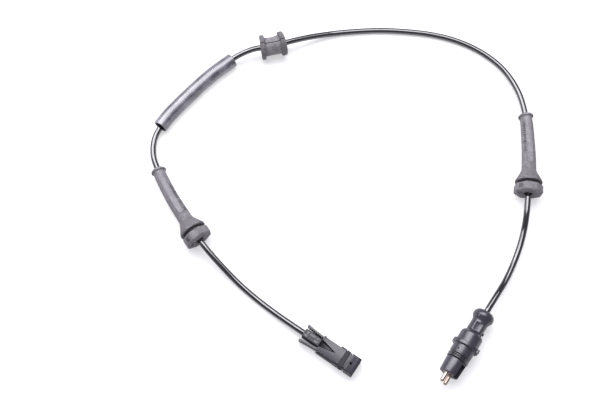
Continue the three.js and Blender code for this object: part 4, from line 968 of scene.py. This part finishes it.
def may_be_eased(place):
    """Whether an edge here can take a radius: not on the thin wings or on the tip's fine ring"""
    on_ring = math.hypot(place.x - ring_middle, place.y) < ring_reach and place.z > head_top - 0.001
    return place.x > wing_root and not on_ring


def in_painted_shade(face):
    """Whether a face of the head is the V's floor or in the tip's blind hole"""
    x, y, z = face.center
    in_hole = math.hypot(x - ring_middle, y) < hole_reach and 0.01 < z < head_top - 0.0002
    on_floor = face.normal.z > 0.97 and recess_floor < z < head_top - 0.0006
    return in_hole or on_floor and recess_rear < x < v_point + 0.0001


housing = eased_copy("sensor_housing", "sensor_body", head_plastic, radius=0.00022, reach=may_be_eased,
                     second=recess_plastic, picked=in_painted_shade)
# The ring round the hole is only a faint mark on the real one, so it is drawn at 0.4 of its height.
ring_share = 0.4
for vertex in housing.data.vertices:
    if vertex.co.z > head_top + 0.00005:
        vertex.co.z = head_top + (vertex.co.z - head_top) * ring_share

# The real tip falls away in one soft curve where the solid has a flat slope.
crown_from, slope_from, tip_end = 0.0165, 0.0209, 0.0247
tip_drop, skin_foot, crown_power = 0.0015, 0.0097, 1.8
rounded = bmesh.new()
rounded.from_mesh(housing.data)
for cut in np.linspace(crown_from, tip_end - 0.0004, 12):
    bmesh.ops.bisect_plane(rounded, geom=[*rounded.verts, *rounded.edges, *rounded.faces], dist=1e-6,
                           plane_co=(cut, 0, 0), plane_no=(1, 0, 0))
for vertex in rounded.verts:
    x, y, z = vertex.co
    if x > crown_from and z > skin_foot:
        curve = tip_drop * ((x - crown_from) / (tip_end - crown_from)) ** crown_power
        flat = tip_drop * max(0, (x - slope_from) / (tip_end - slope_from))
        vertex.co.z -= (curve - flat) * min(1, (z - skin_foot) / (head_top - skin_foot))
# The top of the legs and the shoulder is slightly domed across, and fades into the wings' roots.
dome_full, dome_end, dome_half, dome_drop, dome_foot = -0.006, 0.0112, 0.0064, 0.0004, 0.0108
lengthwise, crosswise = np.linspace(-0.0054, 0.0054, 10), (-0.0079, -0.007, dome_full)
for normal, cuts in (((0, 1, 0), lengthwise), ((1, 0, 0), crosswise)):
    for cut in cuts:
        tops = [f for f in rounded.faces if f.normal.z > 0.97 and f.calc_center_median().x < dome_end
                and f.calc_center_median().z > head_top - 0.0005]
        around = dict.fromkeys([*(v for f in tops for v in f.verts), *(e for f in tops for e in f.edges)])
        bmesh.ops.bisect_plane(rounded, geom=[*around, *tops], dist=1e-6,
                               plane_co=[n * cut for n in normal], plane_no=normal)
for vertex in rounded.verts:
    x, y, z = vertex.co
    if wing_root < x < dome_end and z > dome_foot:
        share = min(1, (x - wing_root) / (dome_full - wing_root)) * min(1, (z - dome_foot) / 0.0009)
        vertex.co.z -= dome_drop * share * (y / dome_half) ** 2
rounded.to_mesh(housing.data)
rounded.free()
housing.data.set_sharp_from_angle(angle=math.radians(18))
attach(housing, "root")
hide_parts("sensor_housing")


# Cable-end block: moulded over the cable's end in the same plastic, with three raised pads, and lower
# squares beside them where the real one has lettering.
square_count, square_pitch, square_size, squares_at = 4, 3.0, (0.5, 1.9, 2.1), (-21.4, 1.5, 10.75)
points, faces = row_of_blocks(square_count, square_pitch, square_size, uneven=0.08, finish=matt_plastic)
squares = ([(z + squares_at[0], y + squares_at[1], x + squares_at[2]) for x, y, z in points],
           [f[::-1] for f in faces])
small_pad = rounded_box((1.4, 1.4, 0.8), (-10.6, -0.6, 10.7))
block = eased_copy("cable_end_overmould", "cable_end_block", matt_plastic, radius=0.00012,
                   second=bright_plastic, picked=lambda face: face.center.z > pad_foot,
                   more=[squares, small_pad])
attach(block, "root")
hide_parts("cable_end_overmould")


# Head seal: a matt nitrile rubber band, moulded with fine ribs across it all the way round and stretched
# into the head's groove. Its grain of 0.6 mm is drawn coarser than the real one, so that it shows.
band_rubber, tree, out = material("black nitrile rubber, matt")
place = put(tree, "ShaderNodeTexCoord")
grain = put(tree, "ShaderNodeTexNoise", {"Vector": place.outputs["Object"], "Scale": 1800.0, "Detail": 3.0})
bump = put(tree, "ShaderNodeBump", {"Height": grain.outputs[0], "Strength": 0.4, "Distance": 0.0002})
body = put(tree, "ShaderNodeBsdfPrincipled", {
    "Base Color": linear("#424047"), "Roughness": 0.56, "IOR": 1.5, "Normal": bump.outputs[0]})
tree.links.new(body.outputs[0], out.inputs["Surface"])
band_middle, band_width, band_height, band_axis = 13.25, 14.9, 11.7, 6.0
rib_pitch, band_rib, band_rib_sunk = 1.05, (2.9, 0.4, 0.45), 0.05
ribs = []
for quarter in range(4):
    count, size_across = ((12, band_height), (9, band_width))[quarter % 2]
    points, faces = row_of_blocks(count, rib_pitch, band_rib, uneven=0.0, finish=band_rubber)
    start = -(count - 1) * rib_pitch / 2
    on_side = [(z + start, y + size_across / 2 - band_rib_sunk, x) for x, y, z in points]
    across = turned_about(on_side, quarter * math.pi / 2)
    ribs.append(([(band_middle + c, a, band_axis + b) for a, b, c in across], faces))
band = eased_copy("head_seal", "head_seal_band", band_rubber, radius=0.00012, more=ribs)
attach(band, "root")
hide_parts("head_seal")


# Inner pieces: the coil on its bobbin, its iron pole, the magnet, terminals, cores and contact holder.
# They keep the part's own shapes, each in the finish of the real one, with a grain of about 1 mm.
for name, shade, metal, rough, nodes in (
    ("natural polyamide, moulded", "#b9ae8f", 0.0, 0.5, ("coil_bobbin", "contact_retainer")),
    ("enamelled copper wire, wound", "#9c4f24", 1.0, 0.32, ("coil_winding",)),
    ("soft iron, drawn", "#77797e", 1.0, 0.42, ("pole_piece",)),
    ("sintered magnet, ground", "#46474c", 0.6, 0.45, ("magnet",)),
    ("tinned bronze, stamped", "#b8b9ba", 1.0, 0.33, ("head_terminal_1", "head_terminal_2")),
    ("black core insulation, extruded", "#202024", 0.0, 0.45, ("head_wire_1", "plug_wire_1")),
    ("white core insulation, extruded", "#d9d5c8", 0.0, 0.45, ("head_wire_2", "plug_wire_2")),
):
    inside = drifting(name, [shade], gloss=(rough - 0.06, rough + 0.08),
                      cloud={"Scale": 900.0, "Detail": 3.0}, relief=(0.15, 0.0001),
                      looks={"Metallic": metal})
    for node_name in nodes:
        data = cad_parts[node_name].data
        data.materials.clear()
        data.materials.append(inside)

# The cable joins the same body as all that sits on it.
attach(cable, "root")
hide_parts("cable")
